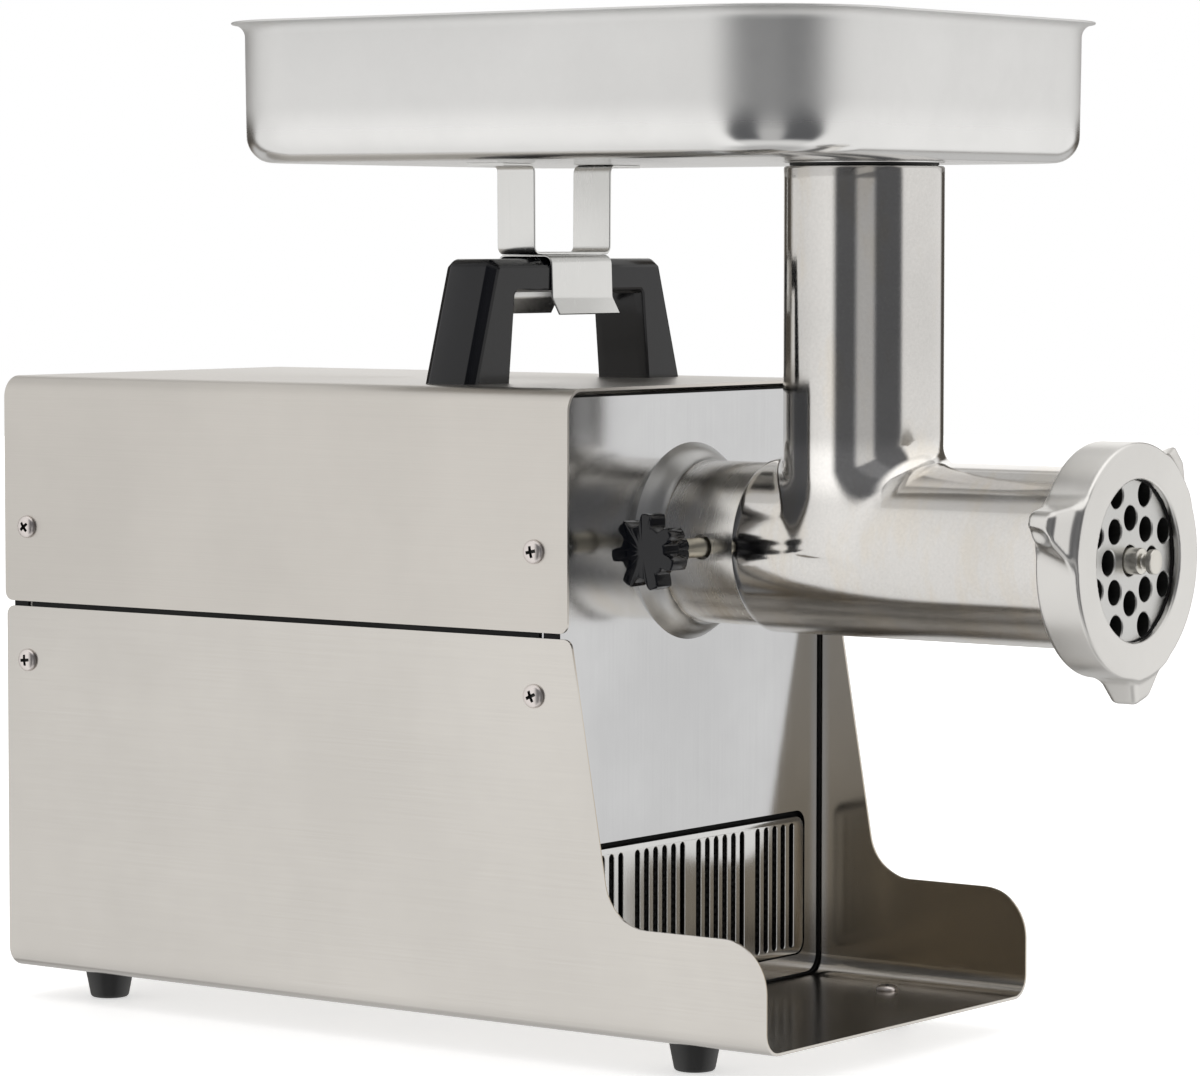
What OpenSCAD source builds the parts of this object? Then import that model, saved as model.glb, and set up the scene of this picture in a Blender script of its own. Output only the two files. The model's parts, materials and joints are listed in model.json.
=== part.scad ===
// Electric meat grinder: a folded sheet-metal body with a geared motor inside,
// a cast grinding head in front and a meat tray on top.
// +X is the right side seen from the front, -Y is the outlet end, +Z is up.
// Lengths along Y are counted from the front edge of the upper cover and moved
// by y_mid at the end, so the origin is under the middle of the whole machine.

/* [Body] */
// Overall width of the folded body
body_w = 190.4; // [185:0.2:200]
// Depth of the upper cover, front edge to rear edge
cover_l = 301; // [295:1:306]
// Rear edge of the lower chassis
chassis_y1 = 300; // [296:1:304]
// Front edge of the chassis wings
wing_y0 = -94.7; // [-100:0.1:-85]
// Height of the underside of the chassis floor, which is the height of the feet
floor_z = 13; // [11:0.5:16]
// Top edge of the chassis sides
chassis_top = 169; // [165:1:171]
// Lower edge of the upper cover's sides
cover_z0 = 171.2; // [170:0.2:175]
// Top of the upper cover
cover_top = 267.2; // [264:0.2:270]
// Sheet thickness of cover and chassis
sheet_t = 1.2; // [0.8:0.1:1.5]
// Outside radius of the folds
fold_r = 9; // [6:0.5:12]
// Height of the wings' flat shelf
shelf_z = 57.5; // [50:0.5:65]
// Radius of the wings' upper front corner and of the curve behind the shelf
wing_r = 20; // [20:1:20]

/* [Front plate and vents] */
// Front face of the front plate
plate_y = 8; // [8:1:8]
// Thickness of the front plate
plate_t = 1.5; // [1:0.5:2]
// Number of slots in each outer group of the grille
slots_outer = 5; // [3:1:5]
// Number of slots in each inner group of the grille
slots_inner = 6; // [3:1:6]
// Distance between slots
slot_pitch = 6.25; // [5:0.05:6.3]
// Width of a slot
slot_w = 2.7; // [2:0.1:4]

/* [Grinding head] */
// Height of the auger's axis
axis_z = 203; // [203:1:203]
// Outside radius of the barrel
barrel_r = 35.2; // [34:0.1:36]
// Outside radius of the throat
throat_r = 32; // [30:0.5:33]
// Inside radius of the throat
throat_bore = 27; // [26:0.5:28]
// Distance of the throat's axis in front of the cover edge
throat_y = -75.5; // [-80:0.5:-70]
// Height of the throat's top edge
throat_top = 354.6; // [350:0.2:357]
// Outside radius of the ring nut
ring_r = 45.5; // [45:0.5:48]
// Front face of the ring nut
ring_y0 = -202; // [-202:1:-202]
// Rear face of the ring nut
ring_y1 = -182.8; // [-184:0.1:-182]
// Radius of the ring nut's opening
ring_open = 31.3; // [30:0.1:32]
// Radius of the grinding plate
disc_r = 35; // [35:1:35]
// Radius of one hole in the grinding plate
hole_r = 4.85; // [2:0.05:5]
// Number of holes in each of the two rings of holes
hole_n = 8; // [6:1:8]
// Thread pitch of the ring nut
ring_pitch = 4; // [3:0.5:5]
// Outside radius of the auger's flight
flight_r = 25.6; // [24:0.2:26]
// Turns of the auger's flight
flight_turns = 3.5; // [2.5:0.5:4]

/* [Drive neck and lock knob] */
// Outside radius of the neck
neck_r = 33; // [32:0.5:34]
// Front face of the neck
neck_y0 = -36; // [-36:1:-36]
// Radius of the neck's bore
neck_bore = 26.2; // [26.2:0.1:26.2]
// Distance of the lock knob's axis in front of the cover edge
knob_y = -20; // [-22:1:-18]
// Radius over the lock knob's lobes
knob_r = 15.3; // [13:0.1:17]
// Number of lobes on the lock knob
knob_lobes = 7; // [5:1:9]

/* [Meat tray] */
// Half of the tray's width over the rim
tray_w = 122.4; // [115:0.1:130]
// Front edge of the tray's rim
tray_y0 = -130.2; // [-134:0.1:-126]
// Rear edge of the tray's rim
tray_y1 = 176.2; // [172:0.1:180]
// Underside of the tray
tray_z0 = 356.6; // [356:0.1:358]
// Top of the tray's rim
tray_top = 413.6; // [405:0.2:420]
// Radius of the tray's upright corners, outside the wall
tray_corner = 45; // [40:1:50]
// Sheet thickness of the tray
tray_t = 1; // [0.8:0.1:1.5]

/* [Carry handle and clip] */
// Middle of the carry handle, front to back
handle_y = 77.8; // [77.8:0.1:77.8]
// Depth of the carry handle, front to back
handle_d = 26.4; // [24:0.2:26.4]
// Half width of the carry handle at its foot
handle_foot = 72.9; // [70:0.1:75]
// Half width of the carry handle at its top
handle_head = 57.5; // [55:0.5:60]
// Top of the carry handle
handle_top = 317.6; // [315:0.1:317.6]
// Underside of the handle's crossbar
bar_z = 302.6; // [300:0.1:305]
// Width of the spring clip
clip_w = 41.4; // [36:0.2:44]

/* [Gear train] */
// Module of the final gear pair
final_mod = 2; // [2:1:2]
// Teeth of the output gear
output_teeth = 47; // [47:1:47]
// Teeth of the pinion that drives the output gear
pinion_teeth = 17; // [17:1:17]
// Module of the first gear pair
first_mod = 1.5; // [1.5:0.5:1.5]
// Teeth of the intermediate gear
middle_teeth = 51; // [51:1:51]
// Teeth of the motor pinion
motor_teeth = 17; // [17:1:17]
// Radius of the motor's stator
stator_r = 66; // [60:1:68]

/* [Hidden] */
$fn = 64;
eps = 0.01;
y_mid = 48.5;                      // middle of the machine along Y
inner_w = body_w / 2 - sheet_t;    // inside face of the side walls
mid_x = -30;                       // intermediate axis
mid_z = axis_z - sqrt(pow(final_mod * (output_teeth + pinion_teeth) / 2, 2) - mid_x * mid_x);
motor_x = 0;
// the motor axis lies one first-pair centre distance from the intermediate axis
mot_z = mid_z - sqrt(pow(first_mod * (middle_teeth + motor_teeth) / 2, 2) - pow(motor_x - mid_x, 2));
phi_final = atan2(mid_z - axis_z, mid_x);                   // output axis to intermediate axis
phi_first = atan2(mot_z - mid_z, motor_x - mid_x);          // intermediate axis to motor axis
slope = tan(9.9);                  // lean of the wings' front edge
foot_x = 69;
foot_y = [-43, 266];
screw_y = [16.4, 288];             // side screws, front and rear
screw_z = [203, 146];              // side screws in the cover and in the chassis

// ---------- helpers ----------
module at_mid() translate([0, -y_mid, 0]) children();
module along_y(y0, y1) translate([0, y1, 0]) rotate([90, 0, 0]) linear_extrude(y1 - y0) children();
module along_x(x0, x1) translate([x0, 0, 0]) rotate([90, 0, 90]) linear_extrude(x1 - x0) children();
module ycyl(r, y0, y1, x = 0, z = axis_z) translate([x, y1, z]) rotate([90, 0, 0]) cylinder(r = r, h = y1 - y0);
module ytube(ro, ri, y0, y1, x = 0, z = axis_z) difference() {
  ycyl(ro, y0, y1, x, z);
  ycyl(ri, y0 - 1, y1 + 1, x, z);
}
module xcyl(r, x0, x1, y, z) translate([x0, y, z]) rotate([0, 90, 0]) cylinder(r = r, h = x1 - x0);
module zcyl(r, z0, z1, x, y) translate([x, y, z0]) cylinder(r = r, h = z1 - z0);
module rrect(x0, x1, y0, y1, r) {
  translate([x0 + r, y0]) square([x1 - x0 - 2 * r, y1 - y0]);
  translate([x0, y0 + r]) square([x1 - x0, y1 - y0 - 2 * r]);
  for (x = [x0 + r, x1 - r], y = [y0 + r, y1 - r]) translate([x, y]) circle(r);
}
// half-open channel: folds at the bottom, sides up to z1
module channel(w, z0, z1, r) {
  translate([-w / 2 + r, z0]) square([w - 2 * r, z1 - z0]);
  translate([-w / 2, z0 + r]) square([w, z1 - z0 - r]);
  for (s = [-1, 1]) translate([s * (w / 2 - r), z0 + r]) circle(r);
}
// pan-head screw with its shank, head on the outside of direction +X, origin under the head
module pan_screw(r_head, h_head, r_shank, l_shank) rotate([0, 90, 0]) {
  difference() {
    union() {
      cylinder(r = r_head, h = h_head * 0.55);
      translate([0, 0, h_head * 0.55]) cylinder(r1 = r_head, r2 = r_head * 0.62, h = h_head * 0.45);
    }
    for (a = [0, 90]) rotate(a) translate([-r_head * 0.55, -0.6, h_head * 0.4]) cube([r_head * 1.1, 1.2, h_head]);
  }
  translate([0, 0, -l_shank]) cylinder(r = r_shank, h = l_shank);
}
function inv(a) = tan(a) * 180 / PI - a;
// half angle of an involute tooth at radius r, thinned by half the backlash
function half_tooth(r, n, m, thin) = let (rp = m * n / 2, rb = rp * cos(20), rr = max(r, rb))
  90 / n - thin / rp * 180 / PI + inv(20) - inv(acos(rb / rr));
function gear_pts(n, m, thin = 0.06) = let (rp = m * n / 2, rb = rp * cos(20), rf = rp - 1.2 * m, ra = rp + 0.95 * m,
    r1 = max(rf + 0.25 * m, rb), st = [0, 0.34, 0.67, 1])
  [for (i = [0 : n - 1]) for (k = [0 : 9])
    let (side = k < 5 ? -1 : 1, j = k < 5 ? k : 9 - k,
         r = j == 0 ? rf : r1 + (ra - r1) * st[j - 1],
         a = 360 * i / n + side * half_tooth(j == 0 ? r1 : r, n, m, thin))
    [r * cos(a), r * sin(a)]];
module gear(n, m, y0, y1, x, z, turn) translate([x, 0, z]) along_y(y0, y1) rotate(turn) polygon(gear_pts(n, m));

// ---------- body ----------
// outline of the chassis side in the YZ plane
module chassis_side() {
  sx = 0.172; sz = 0.985;
  cy = -1.5 + (4 - 4 * sx) / sz;
  corner_y = -1.5 - (chassis_top - shelf_z) * slope;
  tl = wing_r * 0.84;
  difference() {
    union() {
      polygon([[chassis_y1, floor_z - 1], [chassis_y1, chassis_top - 4], [chassis_y1 - 4, chassis_top], [cy, chassis_top],
        [cy - 4 * sz, chassis_top - 4 + 4 * sx], [corner_y + tl * sx, shelf_z + tl * sz], [corner_y - tl, shelf_z],
        [corner_y - tl, floor_z - 1]]);
      translate([chassis_y1 - 4, chassis_top - 4]) circle(4);
      translate([cy, chassis_top - 4]) circle(4);
      translate([wing_y0 + wing_r, floor_z - 1]) square([corner_y - wing_y0 - wing_r, shelf_z - floor_z + 1]);
      translate([wing_y0, floor_z - 1]) square([wing_r + 5, shelf_z - wing_r - floor_z + 1]);
      translate([wing_y0 + wing_r, shelf_z - wing_r]) circle(wing_r);
    }
    translate([corner_y - tl, shelf_z + wing_r]) circle(wing_r);
  }
}
module lower_chassis() color([0.78, 0.76, 0.72]) difference() {
  intersection() {
    along_y(wing_y0 - 1, chassis_y1 + 1) difference() {
      channel(body_w, floor_z, chassis_top + 5, fold_r);
      channel(body_w - 2 * sheet_t, floor_z + sheet_t, chassis_top + 6, fold_r - sheet_t);
    }
    along_x(-body_w, body_w) chassis_side();
  }
  for (y = screw_y) xcyl(2.8, -body_w, body_w, y, screw_z[1]);
  for (x = [-foot_x, foot_x], y = foot_y) zcyl(2.8, 0, 40, x, y);
  for (x = [-45, 45], y = [110, 160]) zcyl(2.6, 0, 40, x, y);
}
module upper_cover() color([0.78, 0.76, 0.72]) difference() {
  intersection() {
    along_y(-1, cover_l + 1) mirror([0, 1]) difference() {
      channel(body_w, -cover_top, -cover_z0 + 5, fold_r);
      channel(body_w - 2 * sheet_t, -cover_top + sheet_t, -cover_z0 + 6, fold_r - sheet_t);
    }
    along_x(-body_w, body_w) union() {
      translate([4, cover_z0]) square([cover_l - 8, 120]);
      translate([0, cover_z0 + 4]) square([cover_l, 116]);
      for (y = [4, cover_l - 4]) translate([y, cover_z0 + 4]) circle(4);
    }
  }
  for (y = screw_y) xcyl(2.8, -body_w, body_w, y, screw_z[0]);
  for (s = [-1, 1]) zcyl(2.8, cover_top - 10, cover_top + 5, s * 59, handle_y);
}
// flanged end wall, flanges of length fl pointing towards +Y when dir is 1
module end_wall(y, dir) {
  h = inner_w - 0.4;
  along_y(min(y, y + dir * plate_t), max(y, y + dir * plate_t)) rrect(-h, h, 14.6, 263.7, 7.6);
  for (s = [-1, 1]) translate([s > 0 ? h - plate_t : -h, min(y, y + dir * 18), 30]) cube([plate_t, 18, 228]);
}
module front_plate() color([0.72, 0.73, 0.75]) difference() {
  end_wall(plate_y, 1);
  along_y(plate_y - 1, plate_y + 3) rrect(-83, 83, 23.5, 84.8, 6);
  ycyl(neck_r + 0.1, plate_y - 1, plate_y + 4);
  for (z = screw_z) xcyl(2.45, -body_w, body_w, screw_y[0], z);
}
module grille_slots(y0, y1, z0, z1) {
  inner = (slots_inner - 1) * slot_pitch;
  outer = (slots_outer - 1) * slot_pitch;
  gap = 11.4;
  for (s = [-1, 1]) {
    for (i = [0 : slots_inner - 1]) along_y(y0, y1) slot2d(s * (gap / 2 + i * slot_pitch), z0, z1);
    for (i = [0 : slots_outer - 1]) along_y(y0, y1) slot2d(s * (gap * 1.5 + inner + i * slot_pitch), z0, z1);
  }
}
module slot2d(x, z0, z1) {
  translate([x - slot_w / 2, z0 + slot_w / 2]) square([slot_w, z1 - z0 - slot_w]);
  for (z = [z0 + slot_w / 2, z1 - slot_w / 2]) translate([x, z]) circle(slot_w / 2);
}
module vent_grille() color([0.70, 0.70, 0.70]) difference() {
  union() {
    along_y(plate_y + 0.3, plate_y + plate_t) rrect(-82.4, 82.4, 24, 82.3, 5.5);
    along_y(plate_y + plate_t, plate_y + plate_t + 1.5) rrect(-87, 87, 20, 82.3, 5.5);
  }
  grille_slots(plate_y - 1, plate_y + 5, 26.9, 79.6);
}
module rear_panel() color([0.74, 0.73, 0.71]) difference() {
  end_wall(chassis_y1 - 6, -1);
  for (z = screw_z) xcyl(2.45, -body_w, body_w, screw_y[1], z);
  grille_slots(chassis_y1 - 10, chassis_y1, 26.9, 79.6);
  grille_slots(chassis_y1 - 10, chassis_y1, 186, 238.7);
  along_y(chassis_y1 - 10, chassis_y1) translate([28, 116]) square([22, 28]);
  ycyl(8.2, chassis_y1 - 10, chassis_y1, -8, 130);
  ycyl(8.2, chassis_y1 - 10, chassis_y1, -48, 130);
}
module side_screws() color([0.75, 0.75, 0.76]) for (s = [-1, 1], y = screw_y, z = screw_z)
  translate([s * body_w / 2, y, z]) mirror([s < 0 ? 1 : 0, 0, 0]) pan_screw(4.8, 2.6, 2.4, 8);
module cage_nuts() color([0.60, 0.60, 0.60]) for (s = [-1, 1], y = screw_y, z = screw_z) difference() {
  translate([s * (inner_w - 0.4 - plate_t - 2), y, z]) cube([4, 8, 8], center = true);
  xcyl(2.45, -body_w, body_w, y, z);
}

// ---------- carry handle ----------
module carry_handle() color([0.08, 0.08, 0.09]) difference() {
  along_y(handle_y - handle_d / 2, handle_y + handle_d / 2) difference() {
    polygon([[-handle_foot, cover_top], [handle_foot, cover_top], [handle_head + 1.5, handle_top - 4.5], [handle_head - 2.5, handle_top],
      [-handle_head + 2.5, handle_top], [-handle_head - 1.5, handle_top - 4.5]]);
    polygon([[-47.3, cover_top - 1], [47.3, cover_top - 1], [43.2, bar_z], [-43.2, bar_z]]);
  }
  for (s = [-1, 1]) zcyl(2.45, cover_top - 1, cover_top + 20, s * 59, handle_y);
}
module handle_screws() color([0.62, 0.62, 0.63]) for (s = [-1, 1])
  translate([s * 59, handle_y, cover_top - sheet_t]) rotate([0, 90, 0]) pan_screw(4.8, 2.6, 2.4, 18);

// ---------- feet ----------
module rubber_foot(x, y) color([0.05, 0.05, 0.05]) difference() {
  union() {
    translate([x, y, 2]) cylinder(r1 = 8.9, r2 = 10.4, h = floor_z - 4);
    zcyl(10.4, floor_z - 2, floor_z, x, y);
    translate([x, y, 0]) cylinder(r1 = 8, r2 = 8.9, h = 2);
  }
  zcyl(2.45, 3, floor_z + 1, x, y);
}
module foot_front_left() rubber_foot(-foot_x, foot_y[0]);
module foot_front_right() rubber_foot(foot_x, foot_y[0]);
module foot_rear_left() rubber_foot(-foot_x, foot_y[1]);
module foot_rear_right() rubber_foot(foot_x, foot_y[1]);
module foot_screws() color([0.72, 0.72, 0.73]) for (x = [-foot_x, foot_x], y = foot_y)
  translate([x, y, floor_z + sheet_t]) rotate([0, -90, 0]) pan_screw(4.6, 2.4, 2.4, 10);

// ---------- drive neck and lock knob ----------
module drive_neck() color([0.74, 0.73, 0.71]) difference() {
  union() {
    ycyl(neck_r, neck_y0, 12);
    ycyl(46, plate_y + plate_t, 12);
  }
  ycyl(neck_bore, neck_y0 - 1, -2);
  ycyl(23.5, -3, 13);
  xcyl(4.05, -60, 0, knob_y, axis_z);
}
module neck_collar() color([0.76, 0.75, 0.73]) translate([0, plate_y, axis_z]) rotate([90, 0, 0])
  rotate_extrude() translate([neck_r, 0]) union() {
    square([5, 4]);
    square([2, 7]);
    translate([0, 0]) intersection() { translate([2, 4]) circle(3); square([6, 8]); }
  }
module lock_stud() color([0.80, 0.79, 0.74]) xcyl(4, -68, -26.9, knob_y, axis_z);
module lock_knob() color([0.06, 0.06, 0.07]) difference() {
  union() {
    translate([-73, knob_y, axis_z]) rotate([0, 90, 0]) linear_extrude(10.4) union() {
      circle(10.6);
      for (i = [0 : knob_lobes - 1]) rotate(i * 360 / knob_lobes + 57) {
        translate([0, -2.9]) square([knob_r - 2.6, 5.8]);
        translate([knob_r - 2.9, 0]) circle(2.9);
      }
    }
    translate([-62.6, knob_y, axis_z]) rotate([0, 90, 0]) linear_extrude(10.6) union() {
      circle(7.6);
      for (i = [0 : 8]) rotate(i * 40) translate([6.6, 0]) circle(2.1);
    }
  }
  xcyl(4.05, -68.1, -50, knob_y, axis_z);
}

// ---------- grinding head ----------
// the head is one casting, kept as its barrel and its throat
module head_barrel() color([0.78, 0.77, 0.74]) difference() {
  union() {
    ycyl(26.1, neck_y0 - 5, -2.5);
    ycyl(barrel_r, -183.5, neck_y0);
    ycyl(40, -197.4, -183.5);
  }
  ycyl(27.6, -191, -52);
  ycyl(disc_r + 0.15, -198, -190);
  zcyl(throat_bore, axis_z, throat_top + 1, 0, throat_y);
  ycyl(15, -60, -48);
  ycyl(10.05, -60, 0);
}
module head_throat() color([0.78, 0.77, 0.74]) difference() {
  zcyl(throat_r, axis_z + 10, throat_top, 0, throat_y);
  zcyl(throat_bore, axis_z, throat_top + 1, 0, throat_y);
  ycyl(barrel_r, -130, -20);
}
module grinding_plate() color([0.70, 0.70, 0.69]) difference() {
  ycyl(disc_r, -198, -190);
  ycyl(6, -199, -189);
  for (i = [0 : hole_n - 1]) {
    rotate_about_axis(i * 360 / hole_n) ycyl(hole_r, -199, -189, 16.3, 0);
    rotate_about_axis((i + 0.5) * 360 / hole_n) ycyl(hole_r, -199, -189, 27.2, 0);
  }
}
module rotate_about_axis(a) translate([0, 0, axis_z]) rotate([0, -a, 0]) children();
// lug pointing away from the axis, angle counted from +X towards +Z
module lug(a) rotate_about_axis(a - 90) intersection() {
  along_y(ring_y0 + 0.5, ring_y1) polygon([[-13, 42], [13, 42], [5.8, 57.6], [-5.8, 57.6]]);
  along_x(-20, 20) polygon([[ring_y1 - 0.5, 42], [ring_y0 + 1, 42], [ring_y0 + 4, 57.6], [ring_y1 - 4, 57.6]]);
}
module ring_nut() color([0.80, 0.79, 0.77]) difference() {
  union() {
    ycyl(ring_r, ring_y0, ring_y1);
    for (a = [45, 165, 285]) lug(a);
  }
  ycyl(ring_open, ring_y0 - 1, ring_y1 + 1);
  ycyl(40.3, ring_y0 + 3.9, ring_y1 + 1);
}
module knife() color([0.66, 0.67, 0.69]) difference() {
  union() {
    ycyl(11.5, -189.9, -180);
    for (a = [0 : 90 : 270]) rotate_about_axis(a + 20) along_y(-189.9, -184.5)
      polygon([[4, -6], [26.6, -3.6], [26.6, 1.2], [6, 7]]);
  }
  translate([0, -185, axis_z]) cube([11, 20, 11], center = true);
}
// one turn of the flight advances by its length divided by the turns
module flight(y0, y1, r0, r1, turns, th) {
  n = ceil(turns * 20);
  ring = [for (i = [0 : n]) let (a = 360 * turns * i / n, y = y0 + (y1 - y0 - th) * i / n)
    for (p = [[r0, 0], [r1, th * 0.3], [r1, th * 0.7], [r0, th]]) [p[0] * cos(a), y + p[1], axis_z + p[0] * sin(a)]];
  faces = concat([[3, 2, 1, 0]], [[4 * n, 4 * n + 1, 4 * n + 2, 4 * n + 3]],
    [for (i = [0 : n - 1]) for (k = [0 : 3]) let (a = 4 * i + k, b = 4 * i + (k + 1) % 4) each [[a, b, a + 4], [b, b + 4, a + 4]]]);
  polyhedron(points = ring, faces = faces);
}
module auger() color([0.68, 0.68, 0.67]) {
  difference() {
    union() {
      ycyl(13, -178, -52);
      ycyl(10, -52, -1);
      along_y(-1, 21) translate([0, axis_z]) circle(r = 6.4 / cos(30), $fn = 6);
    }
    ycyl(4, -179, -160);
  }
}
module auger_flight() color([0.69, 0.69, 0.68]) flight(-176.6, -55.3, 12.4, flight_r, flight_turns, 6.6);
module auger_stud() color([0.76, 0.75, 0.73]) {
  ycyl(4, -178, -161);
  translate([0, -183.9, axis_z]) cube([11, 11.8, 11], center = true);
  ycyl(5.15, -203.5, -189.5);
  ycyl(2.6, -206.6, -203);
  ycyl(4.8, -209.5, -206.6);
}
module thrust_washer() color([0.85, 0.82, 0.70]) ytube(14.5, 10.1, -51.9, -48);

// ---------- meat tray ----------
// wall section as one outline: x counts outwards from the corner's centre, y is the height
module tray_section() {
  rw = tray_corner; b = 10; f = 5; t = tray_t; z1 = tray_top;
  polygon(concat([[rw - 15, tray_z0], [rw - b, tray_z0]],
    [for (a = [-75 : 15 : 0]) [rw - b + b * cos(a), tray_z0 + b + b * sin(a)]],
    [for (a = [180 : -15 : 90]) [rw + f - t + (f - t) * cos(a), z1 - f + (f - t) * sin(a)]],
    [[rw + 5.6, z1 - t], [rw + 5.6, z1]],
    [for (a = [90 : 15 : 180]) [rw + f - t + f * cos(a), z1 - f + f * sin(a)]],
    [for (a = [0 : -15 : -90]) [rw - b + (b - t) * cos(a), tray_z0 + b + (b - t) * sin(a)]],
    [[rw - 15, tray_z0 + t]]));
}
module meat_tray() color([0.82, 0.82, 0.81]) {
  lip = 5.6;
  wx = tray_w - lip; y0 = tray_y0 + lip; y1 = tray_y1 - lip;
  R = tray_corner;
  for (c = [[wx - R, y1 - R, 0], [-wx + R, y1 - R, 90], [-wx + R, y0 + R, 180], [wx - R, y0 + R, 270]])
    translate([c[0], c[1], 0]) rotate(c[2]) rotate_extrude(angle = 90) tray_section();
  // straight walls
  for (s = [0, 1]) mirror([s, 0, 0]) translate([wx - R, y1 - R, 0]) rotate([90, 0, 0]) linear_extrude(y1 - y0 - 2 * R) tray_section();
  translate([-wx + R, y1 - R, 0]) rotate([90, 0, 90]) linear_extrude(2 * wx - 2 * R) tray_section();
  translate([wx - R, y0 + R, 0]) rotate([90, 0, -90]) linear_extrude(2 * wx - 2 * R) tray_section();
  // floor with the hole over the spout
  translate([0, 0, tray_z0]) linear_extrude(tray_t) difference() {
    rrect(-wx + 15, wx - 15, y0 + 15, y1 - 15, R - 15);
    translate([0, throat_y]) circle(throat_bore - 1.6);
  }
}
module tray_spout() color([0.82, 0.82, 0.81]) difference() {
  union() {
    zcyl(throat_r - 2.4, throat_top + 0.2, throat_top + 1.2, 0, throat_y);
    zcyl(throat_r - 0.4, throat_top + 1.2, tray_z0, 0, throat_y);
    zcyl(throat_bore - 0.4, throat_top - 26, tray_z0, 0, throat_y);
  }
  zcyl(throat_bore - 1.6, throat_top - 30, tray_z0 + 5, 0, throat_y);
}
module tray_bracket() color([0.78, 0.78, 0.77]) {
  y0 = handle_y - 9.6; t = 1.2; z0 = 319.2;
  for (s = [-1, 1]) mirror([s < 0 ? 1 : 0, 0, 0]) along_y(y0, y0 + 19.2) {
    translate([0, z0]) square([23.2, t]);
    intersection() {
      translate([23.2, z0 + 3]) difference() { circle(3); circle(3 - t); }
      translate([23.2 - eps, z0]) square([3 + eps, 3 + eps]);
    }
    translate([26.2 - t, z0 + 3]) square([t, tray_z0 - 3 - z0 - 3]);
    intersection() {
      translate([28.0, tray_z0 - 3]) difference() { circle(3); circle(3 - t); }
      translate([25.0, tray_z0 - 3]) square([3, 3]);
    }
    translate([28.0, tray_z0 - t]) square([19, t]);
  }
}
module tray_clip() color([0.78, 0.78, 0.77]) {
  t = 1; z1 = 319.2; g = handle_d / 2 + 0.4; zb = bar_z - 1.6;
  along_x(-clip_w / 2, clip_w / 2) translate([handle_y, 0]) polygon([
    [-g - t, z1 - 1.3], [-g - 0.6, z1 - 0.4], [-g + 0.3, z1], [g - 0.3, z1], [g + 0.6, z1 - 0.4], [g + t, z1 - 1.3],
    [g + t, zb], [g + t + 3.6, zb - 6], [g + 2.8, zb - 6.6], [g, zb - 0.2], [g, z1 - t], [-g, z1 - t], [-g, zb - 0.2],
    [-g - 2.8, zb - 6.6], [-g - t - 3.6, zb - 6], [-g - t, zb]]);
}

// ---------- gearbox ----------
module gearcase2d(g) {
  translate([0, axis_z]) circle(56 + g);
  translate([mid_x, mid_z]) circle(44 + g);
  translate([motor_x, mot_z]) circle(32 + g);
  translate([-56 - g, 150]) square([112 + 2 * g, axis_z - 150]);
  translate([-40, mot_z - 10]) square([72 + g, 60]);
}
module gearbox_housing() color([0.66, 0.67, 0.68]) difference() {
  along_y(12, 58) gearcase2d(0);
  along_y(18, 59) gearcase2d(-4);
  ycyl(23.5, 11, 19);
  ycyl(15, 14, 19, mid_x, mid_z);
}
module gearbox_cover() color([0.62, 0.63, 0.65]) difference() {
  union() {
    along_y(58, 64) gearcase2d(0);
    ycyl(21, 64, 69, 0, axis_z);
    ycyl(19, 64, 70, mid_x, mid_z);
  }
  ycyl(17.5, 56, 65, 0, axis_z);
  ycyl(15, 56, 68, mid_x, mid_z);
  ycyl(15.2, 50, 80, motor_x, mot_z);
  for (p = [[52.6, 176], [-52.6, 190], [0, 257.6], [29, mot_z - 7]]) ycyl(2, 56, 66, p[0], p[1]);
}
module gearbox_screws() color([0.55, 0.55, 0.56]) for (p = [[52.6, 176], [-52.6, 190], [0, 257.6], [29, mot_z - 7]]) {
  ycyl(1.9, 58.05, 64, p[0], p[1]);
  ycyl(3.6, 64, 67, p[0], p[1]);
}
module shaft_seal() color([0.12, 0.08, 0.06]) ytube(23.4, 10.1, -1.8, 3.8);
module output_shaft() color([0.60, 0.61, 0.63]) difference() {
  union() {
    ycyl(10, -0.9, 46.5);
    ycyl(7.5, 46.5, 63);
  }
  along_y(-2, 22) translate([0, axis_z]) circle(r = 6.45 / cos(30), $fn = 6);
}
module output_gear() color([0.55, 0.56, 0.58]) difference() {
  gear(output_teeth, final_mod, 25, 44, 0, axis_z, phi_final);
  ycyl(10, 20, 50);
  for (i = [0 : 5]) rotate_about_axis(i * 60) ycyl(9, 20, 50, 28, 0);
}
module output_bearings() color([0.75, 0.76, 0.78]) {
  ytube(23.5, 10.03, 4, 18);
  ytube(17.5, 7.53, 54, 65);
}
module intermediate_shaft() color([0.58, 0.59, 0.61]) {
  ycyl(5, 14, 67, mid_x, mid_z);
  gear(pinion_teeth, final_mod, 24.5, 44.5, mid_x, mid_z, phi_final + 180 + 180 / pinion_teeth);
  ycyl(8, 44.5, 46, mid_x, mid_z);
}
module intermediate_gear() color([0.50, 0.51, 0.53]) difference() {
  gear(middle_teeth, first_mod, 46, 55, mid_x, mid_z, phi_first);
  ycyl(5, 40, 60, mid_x, mid_z);
}
module intermediate_bearings() color([0.75, 0.76, 0.78]) {
  ytube(15, 5.03, 14.1, 23, mid_x, mid_z);
  ytube(15, 5.03, 58, 67, mid_x, mid_z);
}

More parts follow.
